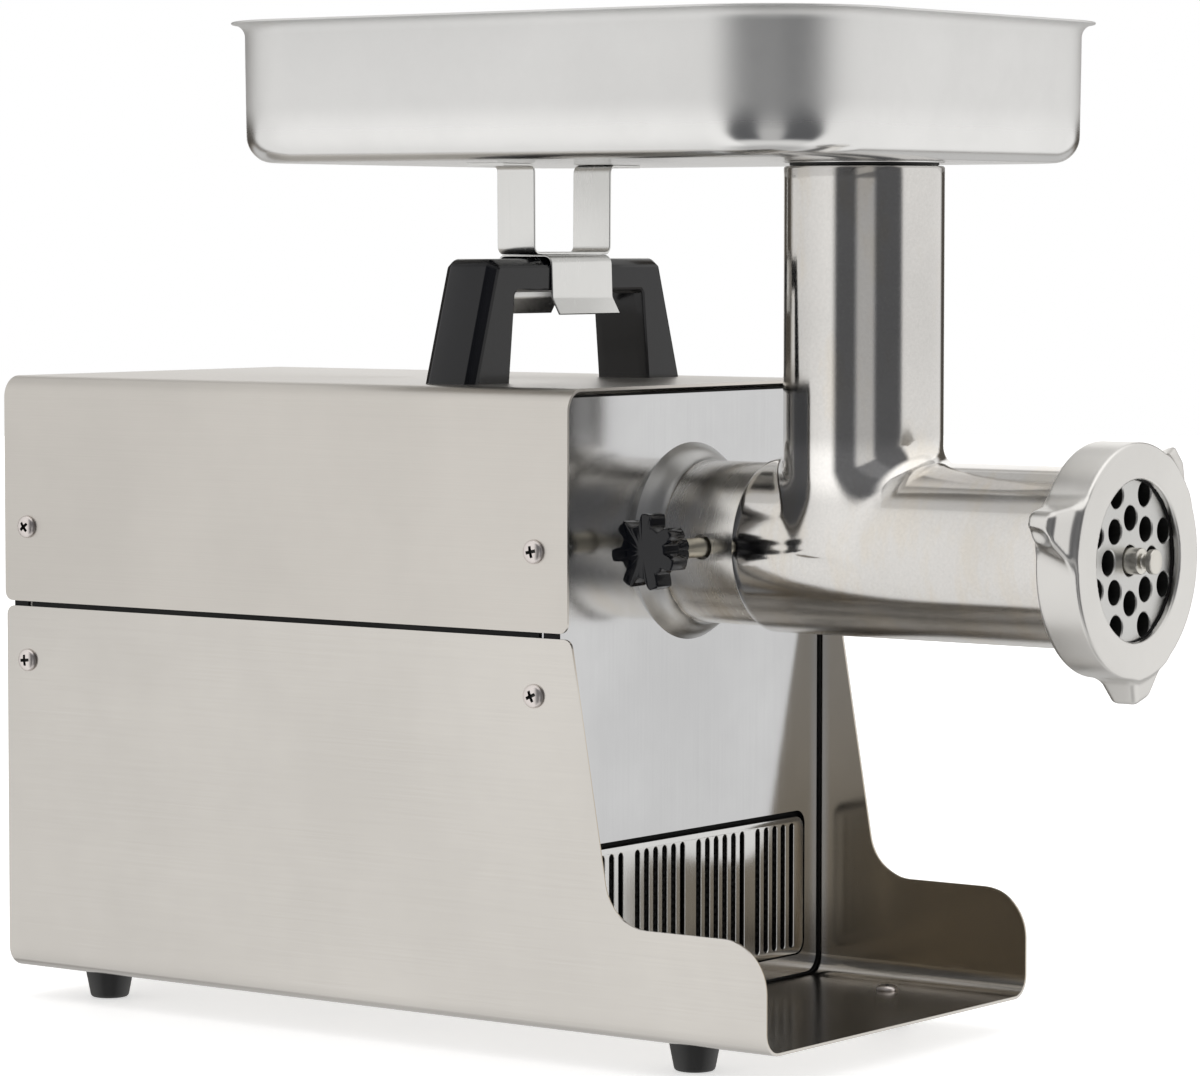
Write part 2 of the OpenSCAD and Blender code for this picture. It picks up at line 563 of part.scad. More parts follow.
// ---------- motor ----------
module motor_shaft() color([0.60, 0.61, 0.63]) {
  ycyl(6, 45, 76, motor_x, mot_z);
  ycyl(7.5, 76, 214, motor_x, mot_z);
  difference() {
    gear(motor_teeth, first_mod, 45.5, 56, motor_x, mot_z, phi_first + 180 + 180 / motor_teeth);
    ycyl(5.9, 40, 60, motor_x, mot_z);
  }
}
module motor_rotor() color([0.52, 0.52, 0.54]) difference() {
  ycyl(33.4, 98, 168, motor_x, mot_z);
  ycyl(7.5, 90, 180, motor_x, mot_z);
}
module motor_stator() color([0.45, 0.45, 0.47]) difference() {
  intersection() {
    ycyl(stator_r, 100, 166, motor_x, mot_z);
    translate([-stator_r + 4, 100, mot_z - stator_r + 4]) cube([2 * stator_r - 8, 66, 2 * stator_r - 8]);
  }
  ycyl(34, 90, 180, motor_x, mot_z);
  for (a = [45 : 90 : 315]) ycyl(2.3, 90, 180, motor_x + 61 * cos(a), mot_z + 61 * sin(a));
}
module motor_windings() color([0.72, 0.40, 0.18]) {
  ytube(52, 36, 88, 100, motor_x, mot_z);
  ytube(52, 36, 166, 178, motor_x, mot_z);
}
module bell(y0, y1, dir) {
  ya = dir > 0 ? y0 : y1 - 5;
  difference() {
    ytube(stator_r, 56, y0, y1, motor_x, mot_z);
    for (a = [0 : 45 : 315]) rotate_motor(a + 22.5) translate([50, (y0 + y1) / 2 - 5, -6]) cube([20, 10, 12]);
    for (a = [45 : 90 : 315]) ycyl(2.3, y0 - 1, y1 + 1, motor_x + 61 * cos(a), mot_z + 61 * sin(a));
  }
  ytube(56, 17.5, ya, ya + 5, motor_x, mot_z);
  ytube(21, 17.5, dir > 0 ? ya : ya - 7, dir > 0 ? ya + 12 : ya + 5, motor_x, mot_z);
}
module rotate_motor(a) translate([motor_x, 0, mot_z]) rotate([0, -a, 0]) children();
module motor_front_bell() color([0.64, 0.65, 0.67]) bell(74, 100, 1);
module motor_rear_bell() color([0.64, 0.65, 0.67]) bell(166, 192, -1);
module motor_bearings() color([0.75, 0.76, 0.78]) {
  ytube(17.5, 7.53, 76, 86, motor_x, mot_z);
  ytube(17.5, 7.53, 181, 191, motor_x, mot_z);
}
module motor_bolts() color([0.58, 0.58, 0.60]) for (a = [45 : 90 : 315]) {
  ycyl(2.2, 71, 195, motor_x + 61 * cos(a), mot_z + 61 * sin(a));
  translate([motor_x + 61 * cos(a), 0, mot_z + 61 * sin(a)]) {
    along_y(71, 74) circle(4.4, $fn = 6);
    along_y(192, 195) circle(4.4, $fn = 6);
  }
}
module cooling_fan() color([0.10, 0.10, 0.11]) {
  ytube(14, 7.5, 199, 213, motor_x, mot_z);
  ytube(56, 13.5, 199, 201, motor_x, mot_z);
  for (a = [0 : 40 : 320]) rotate_motor(a) translate([13, 200.5, -1]) cube([42, 12.5, 2]);
}
module motor_bracket() color([0.50, 0.51, 0.52]) difference() {
  union() {
    for (y = [104, 154]) translate([-52, y, floor_z + sheet_t]) cube([104, 12, mot_z - 40 - floor_z - sheet_t]);
    translate([-52, 104, floor_z + sheet_t]) cube([104, 62, 3]);
  }
  ycyl(stator_r + 0.05, 90, 180, motor_x, mot_z);
  for (x = [-45, 45], y = [110, 160]) zcyl(2.6, 0, 24, x, y);
  translate([-38, 90, floor_z + 6]) cube([76, 90, 16]);
}
module bracket_bolts() color([0.58, 0.58, 0.60]) for (x = [-45, 45], y = [110, 160])
  translate([x, y, floor_z]) rotate([0, 90, 0]) pan_screw(4.4, 2.4, 2.5, 9);
module run_capacitor() color([0.82, 0.82, 0.80]) {
  ycyl(17, 108, 170, 56, 222);
  for (x = [51, 61]) translate([x - 0.4, 170, 219]) cube([0.8, 8, 6]);
}
module capacitor_strap() color([0.55, 0.55, 0.56]) difference() {
  union() {
    ycyl(18.4, 130, 146, 56, 222);
    translate([72, 130, 214]) cube([inner_w - 0.5 - 72, 16, 3]);
    translate([inner_w - 3.5, 130, 205]) cube([3, 16, 12]);
  }
  ycyl(17.05, 120, 150, 56, 222);
}

// ---------- rear controls ----------
module switch_body() color([0.05, 0.05, 0.05]) difference() {
  union() {
    along_y(chassis_y1 - 6, chassis_y1 - 4) rrect(25.5, 52.5, 113.5, 146.5, 2);
    translate([28.2, 271, 116.2]) cube([21.6, 23.5, 27.6]);
  }
  translate([29.6, 285, 118]) cube([18.8, 20, 24]);
  xcyl(2.05, 28.8, 49.2, 290, 130);
}
module switch_rocker() color([0.10, 0.10, 0.11]) {
  xcyl(2, 28.9, 49.1, 290, 130);
  along_x(30.2, 47.8) translate([290, 130]) polygon(concat([for (a = [43 : 9 : 79]) [11.7 * cos(a), 11.7 * sin(a)]], [[-2.5, 7.4], [-2.5, -7.4]],
    [for (a = [-84 : 9 : -57]) [11.7 * cos(a), 11.7 * sin(a)]], [[6.5, -0.6]]));
}
module reset_body() color([0.08, 0.08, 0.08]) difference() {
  union() {
    ycyl(8, 276, chassis_y1 - 6, -8, 130);
    ycyl(10, chassis_y1 - 6, chassis_y1 - 4, -8, 130);
  }
  ycyl(4.6, 284, chassis_y1, -8, 130);
}
module reset_button() color([0.75, 0.08, 0.06]) {
  ycyl(4.5, 288, 301, -8, 130);
}
module cable_gland() color([0.07, 0.07, 0.07]) difference() {
  union() {
    ycyl(8, 284, chassis_y1 - 6, -48, 130);
    translate([-48, 0, 130]) along_y(chassis_y1 - 12.5, chassis_y1 - 7.5) circle(11, $fn = 6);
    translate([-48, 0, 130]) along_y(chassis_y1 - 6, chassis_y1) circle(11, $fn = 6);
    ycyl(9, chassis_y1, 308.5, -48, 130);
  }
  ycyl(4, 280, 310, -48, 130);
}

at_mid() upper_cover();
at_mid() lower_chassis();
at_mid() front_plate();
at_mid() vent_grille();
at_mid() rear_panel();
at_mid() side_screws();
at_mid() cage_nuts();
at_mid() carry_handle();
at_mid() handle_screws();
at_mid() foot_front_left();
at_mid() foot_front_right();
at_mid() foot_rear_left();
at_mid() foot_rear_right();
at_mid() foot_screws();
at_mid() drive_neck();
at_mid() neck_collar();
at_mid() lock_stud();
at_mid() lock_knob();
at_mid() head_barrel();
at_mid() head_throat();
at_mid() grinding_plate();
at_mid() ring_nut();
at_mid() knife();
at_mid() auger();
at_mid() auger_flight();
at_mid() auger_stud();
at_mid() thrust_washer();
at_mid() meat_tray();
at_mid() tray_spout();
at_mid() tray_bracket();
at_mid() tray_clip();
at_mid() gearbox_housing();
at_mid() gearbox_cover();
at_mid() gearbox_screws();
at_mid() shaft_seal();
at_mid() output_shaft();
at_mid() output_gear();
at_mid() output_bearings();
at_mid() intermediate_shaft();
at_mid() intermediate_gear();
at_mid() intermediate_bearings();
at_mid() motor_shaft();
at_mid() motor_rotor();
at_mid() motor_stator();
at_mid() motor_windings();
at_mid() motor_front_bell();
at_mid() motor_rear_bell();
at_mid() motor_bearings();
at_mid() motor_bolts();
at_mid() cooling_fan();
at_mid() motor_bracket();
at_mid() bracket_bolts();
at_mid() run_capacitor();
at_mid() capacitor_strap();
at_mid() switch_body();
at_mid() switch_rocker();
at_mid() reset_body();
at_mid() reset_button();
at_mid() cable_gland();
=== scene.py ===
import json
import math

import bmesh
import bpy
import numpy as np
from mathutils import Matrix, Vector


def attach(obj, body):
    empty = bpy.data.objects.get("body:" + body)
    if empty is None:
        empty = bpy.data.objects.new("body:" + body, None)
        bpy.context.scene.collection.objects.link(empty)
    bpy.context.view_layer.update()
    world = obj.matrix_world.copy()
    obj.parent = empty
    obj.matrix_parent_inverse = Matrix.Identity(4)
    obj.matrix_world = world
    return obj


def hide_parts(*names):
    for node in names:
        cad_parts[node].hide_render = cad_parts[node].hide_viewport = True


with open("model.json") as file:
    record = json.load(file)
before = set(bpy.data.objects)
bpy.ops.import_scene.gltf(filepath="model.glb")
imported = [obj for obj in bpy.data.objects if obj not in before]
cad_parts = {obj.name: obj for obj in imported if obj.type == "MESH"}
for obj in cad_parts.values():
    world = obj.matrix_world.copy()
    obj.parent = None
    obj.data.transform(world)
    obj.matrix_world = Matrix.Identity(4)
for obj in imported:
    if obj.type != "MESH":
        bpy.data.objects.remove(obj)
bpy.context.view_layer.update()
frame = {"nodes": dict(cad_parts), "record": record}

NODES = frame["nodes"]
SCENE = bpy.context.scene
YM = 48.5          # the CAD source's own shift along Y, in mm


def mm(x, y, z):
    """A point in the CAD source's lengths, as metres in the row frame."""
    return Vector((x / 1000, (y - YM) / 1000, z / 1000))


# ------------------------------------------------------------------ camera
def make_camera():
    a, e, r = math.radians(-53.5127), math.radians(3.5763), math.radians(0.0392)
    f = Vector((-math.sin(a) * math.cos(e), math.cos(a) * math.cos(e), -math.sin(e)))
    right = f.cross(Vector((0, 0, 1))).normalized()
    up = right.cross(f)
    r2 = right * math.cos(r) + up * math.sin(r)
    u2 = up * math.cos(r) - right * math.sin(r)
    m = Matrix((r2, u2, -f)).transposed().to_4x4()
    m.translation = mm(-1596.40, -1126.23, 326.33)
    data = bpy.data.cameras.new("camera")
    data.sensor_width = 36
    data.lens = 4808.05 * 36 / 1200
    data.clip_start, data.clip_end = 0.05, 60
    cam = bpy.data.objects.new("camera", data)
    cam.matrix_world = m
    SCENE.collection.objects.link(cam)
    SCENE.camera = cam


make_camera()


# ------------------------------------------------------------------ node helpers
class Tree:
    """A small wrapper that makes shader nodes in one call each."""

    def __init__(self, tree):
        self.t = tree
        tree.nodes.clear()

    def node(self, kind, **props):
        n = self.t.nodes.new(kind)
        ins = props.pop("ins", {})
        for k, v in props.items():
            setattr(n, k, v)
        for k, v in ins.items():
            self.put(n, k, v)
        return n

    def put(self, n, key, v):
        s = n.inputs[key]
        if isinstance(v, bpy.types.NodeSocket):
            self.t.links.new(v, s)
        elif isinstance(v, bpy.types.Node):
            self.t.links.new(v.outputs[0], s)
        else:
            s.default_value = v

    def math(self, op, a, b=0.0, c=0.0, clamp=False):
        n = self.node("ShaderNodeMath", operation=op, use_clamp=clamp)
        self.put(n, 0, a)
        self.put(n, 1, b)
        if op in ("MULTIPLY_ADD", "SMOOTH_MIN", "SMOOTH_MAX", "COMPARE"):
            self.put(n, 2, c)
        return n.outputs[0]

    def ramp(self, x, lo, hi, a=0.0, b=1.0, smooth=True):
        n = self.node("ShaderNodeMapRange", interpolation_type="SMOOTHSTEP" if smooth else "LINEAR")
        for k, v in (("Value", x), ("From Min", lo), ("From Max", hi), ("To Min", a), ("To Max", b)):
            self.put(n, k, v)
        return n.outputs[0]

    def mix(self, f, a, b, blend="MIX"):
        n = self.node("ShaderNodeMix", data_type="RGBA", blend_type=blend)
        self.put(n, 0, f)
        for i, v in ((6, a), (7, b)):
            self.put(n, i, v if isinstance(v, (bpy.types.NodeSocket, bpy.types.Node)) else (*v[:3], 1.0))
        return n.outputs[2]

    def noise(self, vec, scale, detail=4.0, rough=0.55, distort=0.0):
        n = self.node("ShaderNodeTexNoise", noise_dimensions="3D")
        self.put(n, "Vector", vec)
        for k, v in (("Scale", scale), ("Detail", detail), ("Roughness", rough), ("Distortion", distort)):
            self.put(n, k, v)
        return n.outputs[0]

    def coords(self, scale=(1, 1, 1), rot=(0, 0, 0)):
        tc = self.node("ShaderNodeTexCoord")
        m = self.node("ShaderNodeMapping", ins={"Vector": tc.outputs["Object"], "Scale": scale, "Rotation": rot})
        return m.outputs[0]

    def xyz(self):
        """Object X, Y and Z in the CAD source's mm, so shades can follow the shape."""
        tc = self.node("ShaderNodeTexCoord")
        add = self.node("ShaderNodeVectorMath", operation="SUBTRACT")
        self.put(add, 0, tc.outputs["Object"])
        add.inputs[1].default_value = tuple(mm(0, 0, 0))
        big = self.node("ShaderNodeVectorMath", operation="SCALE", ins={"Scale": 1000.0})
        self.t.links.new(add.outputs[0], big.inputs[0])
        sep = self.node("ShaderNodeSeparateXYZ")
        self.t.links.new(big.outputs[0], sep.inputs[0])
        return sep.outputs


MATS = {}


def principled(name, base, metallic=0.0, rough=0.4, **more):
    m = bpy.data.materials.new(name)
    m.use_nodes = True
    t = Tree(m.node_tree)
    out = t.node("ShaderNodeOutputMaterial")
    b = t.node("ShaderNodeBsdfPrincipled")
    t.t.links.new(b.outputs[0], out.inputs[0])
    for k, v in (("Base Color", base if isinstance(base, bpy.types.NodeSocket) else (*base[:3], 1.0)), ("Metallic", metallic), ("Roughness", rough), *more.items()):
        t.put(b, k, v)
    MATS[name] = m
    return m, t, b


def brushed(name, tint, grain=(1, 1, 1), rough=(0.26, 0.36), fine=0.05, blotch=0.10, bump=0.02, aniso=0.0, warm=None, tone=None, polish=None, stain_and_painted_warmth=None):
    """Metal with a directional grain. grain is the scale of the streaks on each axis, larger across the grain."""
    m, t, b = principled(name, tint, 1.0, 0.3)
    v = t.coords(grain)
    streak = t.noise(v, 1.0, 5.0, 0.62)
    streak2 = t.noise(t.coords([g * 3.1 for g in grain]), 1.0, 3.0, 0.6)
    cloud = t.noise(t.coords((9, 9, 9)), 1.0, 4.0, 0.6)
    s = t.math("ADD", t.math("MULTIPLY", streak, 0.6), t.math("MULTIPLY", streak2, 0.4))
    k = t.ramp(s, 0.3, 0.7, 1 - fine, 1 + fine, smooth=False)
    k2 = t.ramp(cloud, 0.3, 0.7, 1 - blotch, 1 + blotch * 0.4, smooth=False)
    kk = t.math("MULTIPLY", k, k2)
    # tone multiplies the colour by a factor from the shape: painted light or shade wherever it is used
    if tone:
        kk = t.math("MULTIPLY", kk, tone(t, *t.xyz()))
    col = t.node("ShaderNodeVectorMath", operation="SCALE")
    dark = warm or [c * 0.96 for c in tint]
    t.t.links.new(t.mix(t.ramp(cloud, 0.35, 0.65), dark, tint), col.inputs[0])
    t.t.links.new(kk, col.inputs["Scale"])
    shade = col.outputs[0]
    # this tints the colour by a mask: real stains on the casting and neck, painted warm shade in the chassis's front
    # bay
    if stain_and_painted_warmth:
        shade = t.mix(stain_and_painted_warmth[0](t, *t.xyz()), shade, t.mix(1.0, shade, stain_and_painted_warmth[1], "MULTIPLY"))
    t.put(b, "Base Color", shade)
    r = t.ramp(t.math("ADD", t.math("MULTIPLY", s, 0.6), t.math("MULTIPLY", cloud, 0.4)), 0.3, 0.7, rough[0], rough[1], smooth=False)
    t.put(b, "Roughness", polish(t, r, *t.xyz()) if polish else r)
    if aniso:
        b.inputs["Anisotropic"].default_value = aniso
    if bump:
        bp = t.node("ShaderNodeBump", ins={"Strength": bump, "Distance": 0.0004, "Height": s})
        t.t.links.new(bp.outputs[0], b.inputs["Normal"])
    return m


def plastic(name, tint, rough=(0.18, 0.3), grain=900.0, bump=0.03, coat=0.0):
    m, t, b = principled(name, tint, 0.0, 0.25)
    n = t.noise(t.coords((1, 1, 1)), grain, 2.0)
    cloud = t.noise(t.coords((1, 1, 1)), 22.0, 4.0, 0.6)
    t.put(b, "Base Color", t.mix(t.ramp(cloud, 0.3, 0.7), [c * 0.8 for c in tint], [c * 1.15 for c in tint]))
    t.put(b, "Roughness", t.ramp(cloud, 0.3, 0.7, rough[0], rough[1]))
    b.inputs["Coat Weight"].default_value = coat
    b.inputs["Coat Roughness"].default_value = 0.08
    bp = t.node("ShaderNodeBump", ins={"Strength": bump, "Distance": 0.0002, "Height": n})
    t.t.links.new(bp.outputs[0], b.inputs["Normal"])
    return m


def rear_painted_shade(t, x, y, z):
    """Painted shade: the sheet's colour is made a little darker toward the rear."""
    return t.ramp(y, 40, 300, 1.0, 0.92, smooth=False)


def bay_inside(t, x, y, z):
    """1 on the inner face of the folded sheet in front of the plate, 0 on its outer face."""
    dx = t.math("MAXIMUM", t.math("SUBTRACT", t.math("ABSOLUTE", x), 86.2), 0.0)
    dz = t.math("MAXIMUM", t.math("SUBTRACT", 22.0, z), 0.0)
    r = t.math("SQRT", t.math("ADD", t.math("MULTIPLY", dx, dx), t.math("MULTIPLY", dz, dz)))
    return t.math("MULTIPLY", t.ramp(r, 8.1, 8.5, 1.0, 0.0), t.ramp(y, 2, 6, 1.0, 0.0))


def chassis_painted_shade(t, x, y, z):
    """Painted shade: darker toward the rear, and darker again low down on the inner faces of the front bay, where shade
    falls.
    """
    inside = t.math("MULTIPLY", bay_inside(t, x, y, z), t.ramp(z, 16, 24))
    low = t.ramp(z, 40, 165, 0.68, 0.97)
    return t.math("MULTIPLY", rear_painted_shade(t, x, y, z), t.math("ADD", 0.955, t.math("MULTIPLY", inside, t.math("SUBTRACT", low, 1.0))))


def bay_painted_warm_shade(t, x, y, z):
    """Painted warm shade: where the steel is tinted browner, the inner faces of the front bay, low down, standing in
    for the dim brown light there.
    """
    return t.math("MULTIPLY", bay_inside(t, x, y, z), t.math("MULTIPLY", t.ramp(z, 60, 165, 1.0, 0.45), t.ramp(z, 15, 24, 0.15, 0.9)))


def tray_polish(t, r, x, y, z):
    """The walls are satin, the fold at their foot is polished by the die and the underside is matt."""
    wall = t.ramp(z, 363, 380, 0.14, 0.46)
    return t.math("ADD", t.math("MULTIPLY", r, 0.3), t.math("MULTIPLY", wall, t.ramp(z, 357.4, 359.5, 1.5, 1.0)))


def cast_polish(t, r, x, y, z):
    """The underside of the casting is less worn, so it is duller."""
    return t.math("ADD", r, t.ramp(z, 166, 196, 0.14, 0.0))


def cast_painted_light(t, x, y, z):
    """Painted light: the casting's colour is made brighter along the barrel's belly and in a band high up under the
    tray.
    """
    belly = t.ramp(z, 170, 190, 0.36, 0.0)
    back = t.math("MULTIPLY", t.ramp(z, 221, 233, 0.0, 0.40), t.ramp(z, 239, 250, 1.0, 0.0))
    return t.math("ADD", 1.0, t.math("ADD", belly, back))


def neck_painted_light(t, x, y, z):
    # Painted light: the lower part of the neck is made brighter.
    return t.math("ADD", 1.0, t.ramp(z, 172, 192, 0.28, 0.0))


def ring_painted_light(t, x, y, z):
    """Painted light: the upper part of the nut's turned side is made brighter than its face."""
    return t.math("ADD", 1.0, t.math("MULTIPLY", t.ramp(z, 218, 234, 0.0, 0.34), t.ramp(y, -201.9, -201.2)))


def stain_mask(t, x, y, z):
    """Loose brownish patches."""
    return t.ramp(t.noise(t.coords((22, 60, 22)), 1.0, 5.0, 0.62), 0.48, 0.66, 0.0, 0.75)


# grain numbers are per metre: small along the grain, large across it
# the cover's colour carries painted shade, darker toward the rear
brushed("m_cover", (0.655, 0.628, 0.590), (3000, 16, 3000), (0.30, 0.38), 0.035, 0.03, 0.02, aniso=0.4, tone=rear_painted_shade)
brushed("m_front", (0.585, 0.59, 0.60), (1600, 1600, 14), (0.08, 0.17), 0.03, 0.07, 0.02)
# the chassis's colour carries painted shade: darker toward the rear and low in the front bay, and tinted browner there
brushed("m_chassis", (0.66, 0.636, 0.602), (3000, 16, 3000), (0.15, 0.23), 0.035, 0.03, 0.02, aniso=0.3, tone=chassis_painted_shade, stain_and_painted_warmth=(bay_painted_warm_shade, (1.0, 0.90, 0.74)))
brushed("m_grille", (0.68, 0.68, 0.675), (1600, 1600, 14), (0.12, 0.2), 0.04, 0.06, 0.01)
brushed("m_tray", (0.79, 0.79, 0.785), (60, 60, 60), (0.0, 0.2), 0.02, 0.03, 0.01, polish=tray_polish)
brushed("m_cast", (0.645, 0.633, 0.617), (800, 800, 800), (0.07, 0.13), 0.06, 0.07, 0.03, polish=cast_polish, tone=cast_painted_light, stain_and_painted_warmth=(stain_mask, (1.0, 0.965, 0.905)))
brushed("m_ring", (0.72, 0.71, 0.69), (70, 70, 70), (0.26, 0.38), 0.02, 0.06, 0.004, tone=ring_painted_light)
brushed("m_neck", (0.76, 0.745, 0.72), (30, 420, 30), (0.20, 0.32), 0.05, 0.14, 0.008, tone=neck_painted_light, stain_and_painted_warmth=(stain_mask, (1.0, 0.955, 0.88)))
brushed("m_collar", (0.63, 0.63, 0.625), (200, 200, 200), (0.30, 0.42), 0.04, 0.10, 0.02)
brushed("m_pin", (0.92, 0.87, 0.74), (60, 900, 60), (0.28, 0.4), 0.06, 0.08, 0.01)
# a near-black steel for painted shade inside bores, holes, slots, recesses and gaps
brushed("m_painted_recess_shade", (0.07, 0.07, 0.068), (400, 400, 400), (0.5, 0.7), 0.08, 0.10, 0.01)
brushed("m_stud", (0.72, 0.70, 0.65), (60, 500, 60), (0.28, 0.38), 0.03, 0.05, 0.01)
brushed("m_plate", (0.60, 0.60, 0.59), (900, 900, 900), (0.25, 0.35), 0.04, 0.05, 0.02)
brushed("m_bracket", (0.72, 0.72, 0.71), (700, 700, 30), (0.22, 0.30), 0.02, 0.03, 0.01)
brushed("m_screw", (0.74, 0.69, 0.67), (300, 300, 300), (0.26, 0.36), 0.02, 0.05, 0.0)
brushed("m_steel", (0.50, 0.51, 0.53), (400, 30, 400), (0.28, 0.38), 0.05, 0.08, 0.02)
brushed("m_diecast", (0.56, 0.57, 0.59), (500, 500, 500), (0.4, 0.5), 0.05, 0.08, 0.05)
brushed("m_lamination", (0.28, 0.28, 0.29), (20, 2600, 20), (0.4, 0.5), 0.12, 0.08, 0.05)
brushed("m_copper", (0.72, 0.36, 0.16), (20, 900, 900), (0.3, 0.4), 0.12, 0.08, 0.05)
plastic("m_black_gloss", (0.005, 0.0055, 0.008), (0.08, 0.16), 700, 0.03, 0.0)
MATS["m_black_gloss"].node_tree.nodes["Principled BSDF"].inputs["Specular IOR Level"].default_value = 0.36
# a near-black plastic for pieces that stand in for shade: painted shadow lines and dark sheets
plastic("m_filter", (0.004, 0.004, 0.004), (0.8, 0.95), 1500, 0.2)
plastic("m_black_satin", (0.016, 0.016, 0.017), (0.35, 0.5), 1200, 0.08)
plastic("m_rubber", (0.012, 0.012, 0.012), (0.45, 0.6), 900, 0.12)
plastic("m_red", (0.45, 0.02, 0.015), (0.25, 0.35), 900, 0.03)
plastic("m_nylon", (0.75, 0.72, 0.62), (0.4, 0.5), 900, 0.03)

SLOT_MAT = {"brushed_cover": "m_cover", "polished_front": "m_front", "tray_steel": "m_tray", "cast_satin": "m_cast", "plate_steel": "m_plate", "screw_steel": "m_screw",
            "plated_steel": "m_steel", "brass_plated": "m_pin", "black_plastic": "m_black_gloss", "black_moulding": "m_black_satin", "red_moulding": "m_red",
            "foot_rubber": "m_rubber", "seal_rubber": "m_rubber", "nylon": "m_nylon", "die_cast": "m_diecast", "shaft_steel": "m_steel", "bearing_steel": "m_screw",
            "lamination": "m_lamination", "enamelled_copper": "m_copper", "capacitor_case": "m_tray"}
for entry in frame["record"]["subparts"]:
    o = NODES[entry["node"]]
    o.data.materials.clear()
    o.data.materials.append(MATS["m_chassis" if entry["node"] == "lower_chassis" else SLOT_MAT[entry["material_slot"]]])


# ------------------------------------------------------------------ studio
def make_world():
    w = bpy.data.worlds.new("studio")
    SCENE.world = w
    w.use_nodes = True
    t = Tree(w.node_tree)
    out = t.node("ShaderNodeOutputWorld")
    tc = t.node("ShaderNodeTexCoord")
    sep = t.node("ShaderNodeSeparateXYZ", ins={0: tc.outputs["Generated"]})
    x, y, z = sep.outputs
    # azimuth from the photographer's direction, positive to the photographer's right, in degrees
    c0, s0 = math.cos(math.radians(216.49)), math.sin(math.radians(216.49))
    along = t.math("ADD", t.math("MULTIPLY", x, c0), t.math("MULTIPLY", y, s0))
    side = t.math("SUBTRACT", t.math("MULTIPLY", y, c0), t.math("MULTIPLY", x, s0))
    az = t.math("MULTIPLY", t.math("ARCTAN2", side, along), 57.29578)
    el = t.math("MULTIPLY", t.math("ARCSINE", z), 57.29578)

    def band(v, a, b, soft):
        return t.math("MULTIPLY", t.ramp(v, a - soft, a + soft), t.ramp(v, b - soft, b + soft, 1.0, 0.0))

    left = band(az, -130, -46, 5)
    right = band(az, 53, 141, 5)
    middle = band(az, -14, 12, 4)
    grade = t.ramp(az, -104, -58, 0.84, 1.04, smooth=False)
    sides = t.math("ADD", t.math("MULTIPLY", t.math("MULTIPLY", left, 0.98), grade), t.math("MULTIPLY", right, 0.92))
    sides = t.math("ADD", sides, t.math("MULTIPLY", t.math("MULTIPLY", middle, 0.46), t.ramp(el, 0, 4, 1.0, 0.15)))
    # the sides and the lit table below them, down to the object's own shade, and up to the top light
    sides = t.math("MULTIPLY", sides, t.math("MULTIPLY", t.ramp(el, -80, -60, 0.4, 1.0), t.ramp(el, 42, 60, 1.0, 0.0)))
    drop = t.math("ADD", t.ramp(az, 162, 170), t.ramp(az, -170, -162, 1.0, 0.0))
    drop = t.math("MULTIPLY", drop, band(el, -8, 30, 4))
    high = t.math("ADD", t.ramp(az, 132, 146), t.ramp(az, -140, -126, 1.0, 0.0))
    high = t.math("MULTIPLY", high, t.math("MULTIPLY", t.ramp(el, 28, 40), t.ramp(el, 42, 60, 1.0, 0.0)))
    level = t.math("ADD", sides, t.math("MULTIPLY", drop, 0.95))
    level = t.math("ADD", level, t.math("MULTIPLY", high, 0.75))
    level = t.math("ADD", level, t.math("MULTIPLY", t.ramp(el, 44, 62), 1.05))
    table = t.math("MULTIPLY", t.ramp(el, -56, -38, 0.72, 0.0), t.ramp(el, -80, -64, 0.62, 1.0))
    level = t.math("MAXIMUM", level, table)
    rear = t.math("ADD", t.ramp(az, 138, 150), t.ramp(az, -146, -132, 1.0, 0.0))
    level = t.math("MAXIMUM", level, t.math("MULTIPLY", t.math("MULTIPLY", rear, band(el, -66, -11, 6)), 0.52))
    level = t.math("ADD", level, 0.09)
    facing = band(az, -48, 55, 5)
    level = t.math("ADD", level, t.math("MULTIPLY", facing, 0.035))
    col = t.node("ShaderNodeVectorMath", operation="SCALE")
    dull = t.ramp(level, 0.12, 0.55)
    dim = t.mix(facing, (1.0, 0.90, 0.78), (0.98, 0.99, 1.03))
    t.t.links.new(t.mix(dull, dim, (1.0, 0.99, 0.975)), col.inputs[0])
    t.t.links.new(level, col.inputs["Scale"])
    studio = t.node("ShaderNodeBackground", ins={"Color": col.outputs[0], "Strength": 1.0})
    seen = t.node("ShaderNodeBackground", ins={"Color": (1, 1, 1, 1), "Strength": 1.0})
    lp = t.node("ShaderNodeLightPath")
    mixed = t.node("ShaderNodeMixShader", ins={0: lp.outputs["Is Camera Ray"], 1: studio.outputs[0], 2: seen.outputs[0]})
    t.t.links.new(mixed.outputs[0], out.inputs[0])


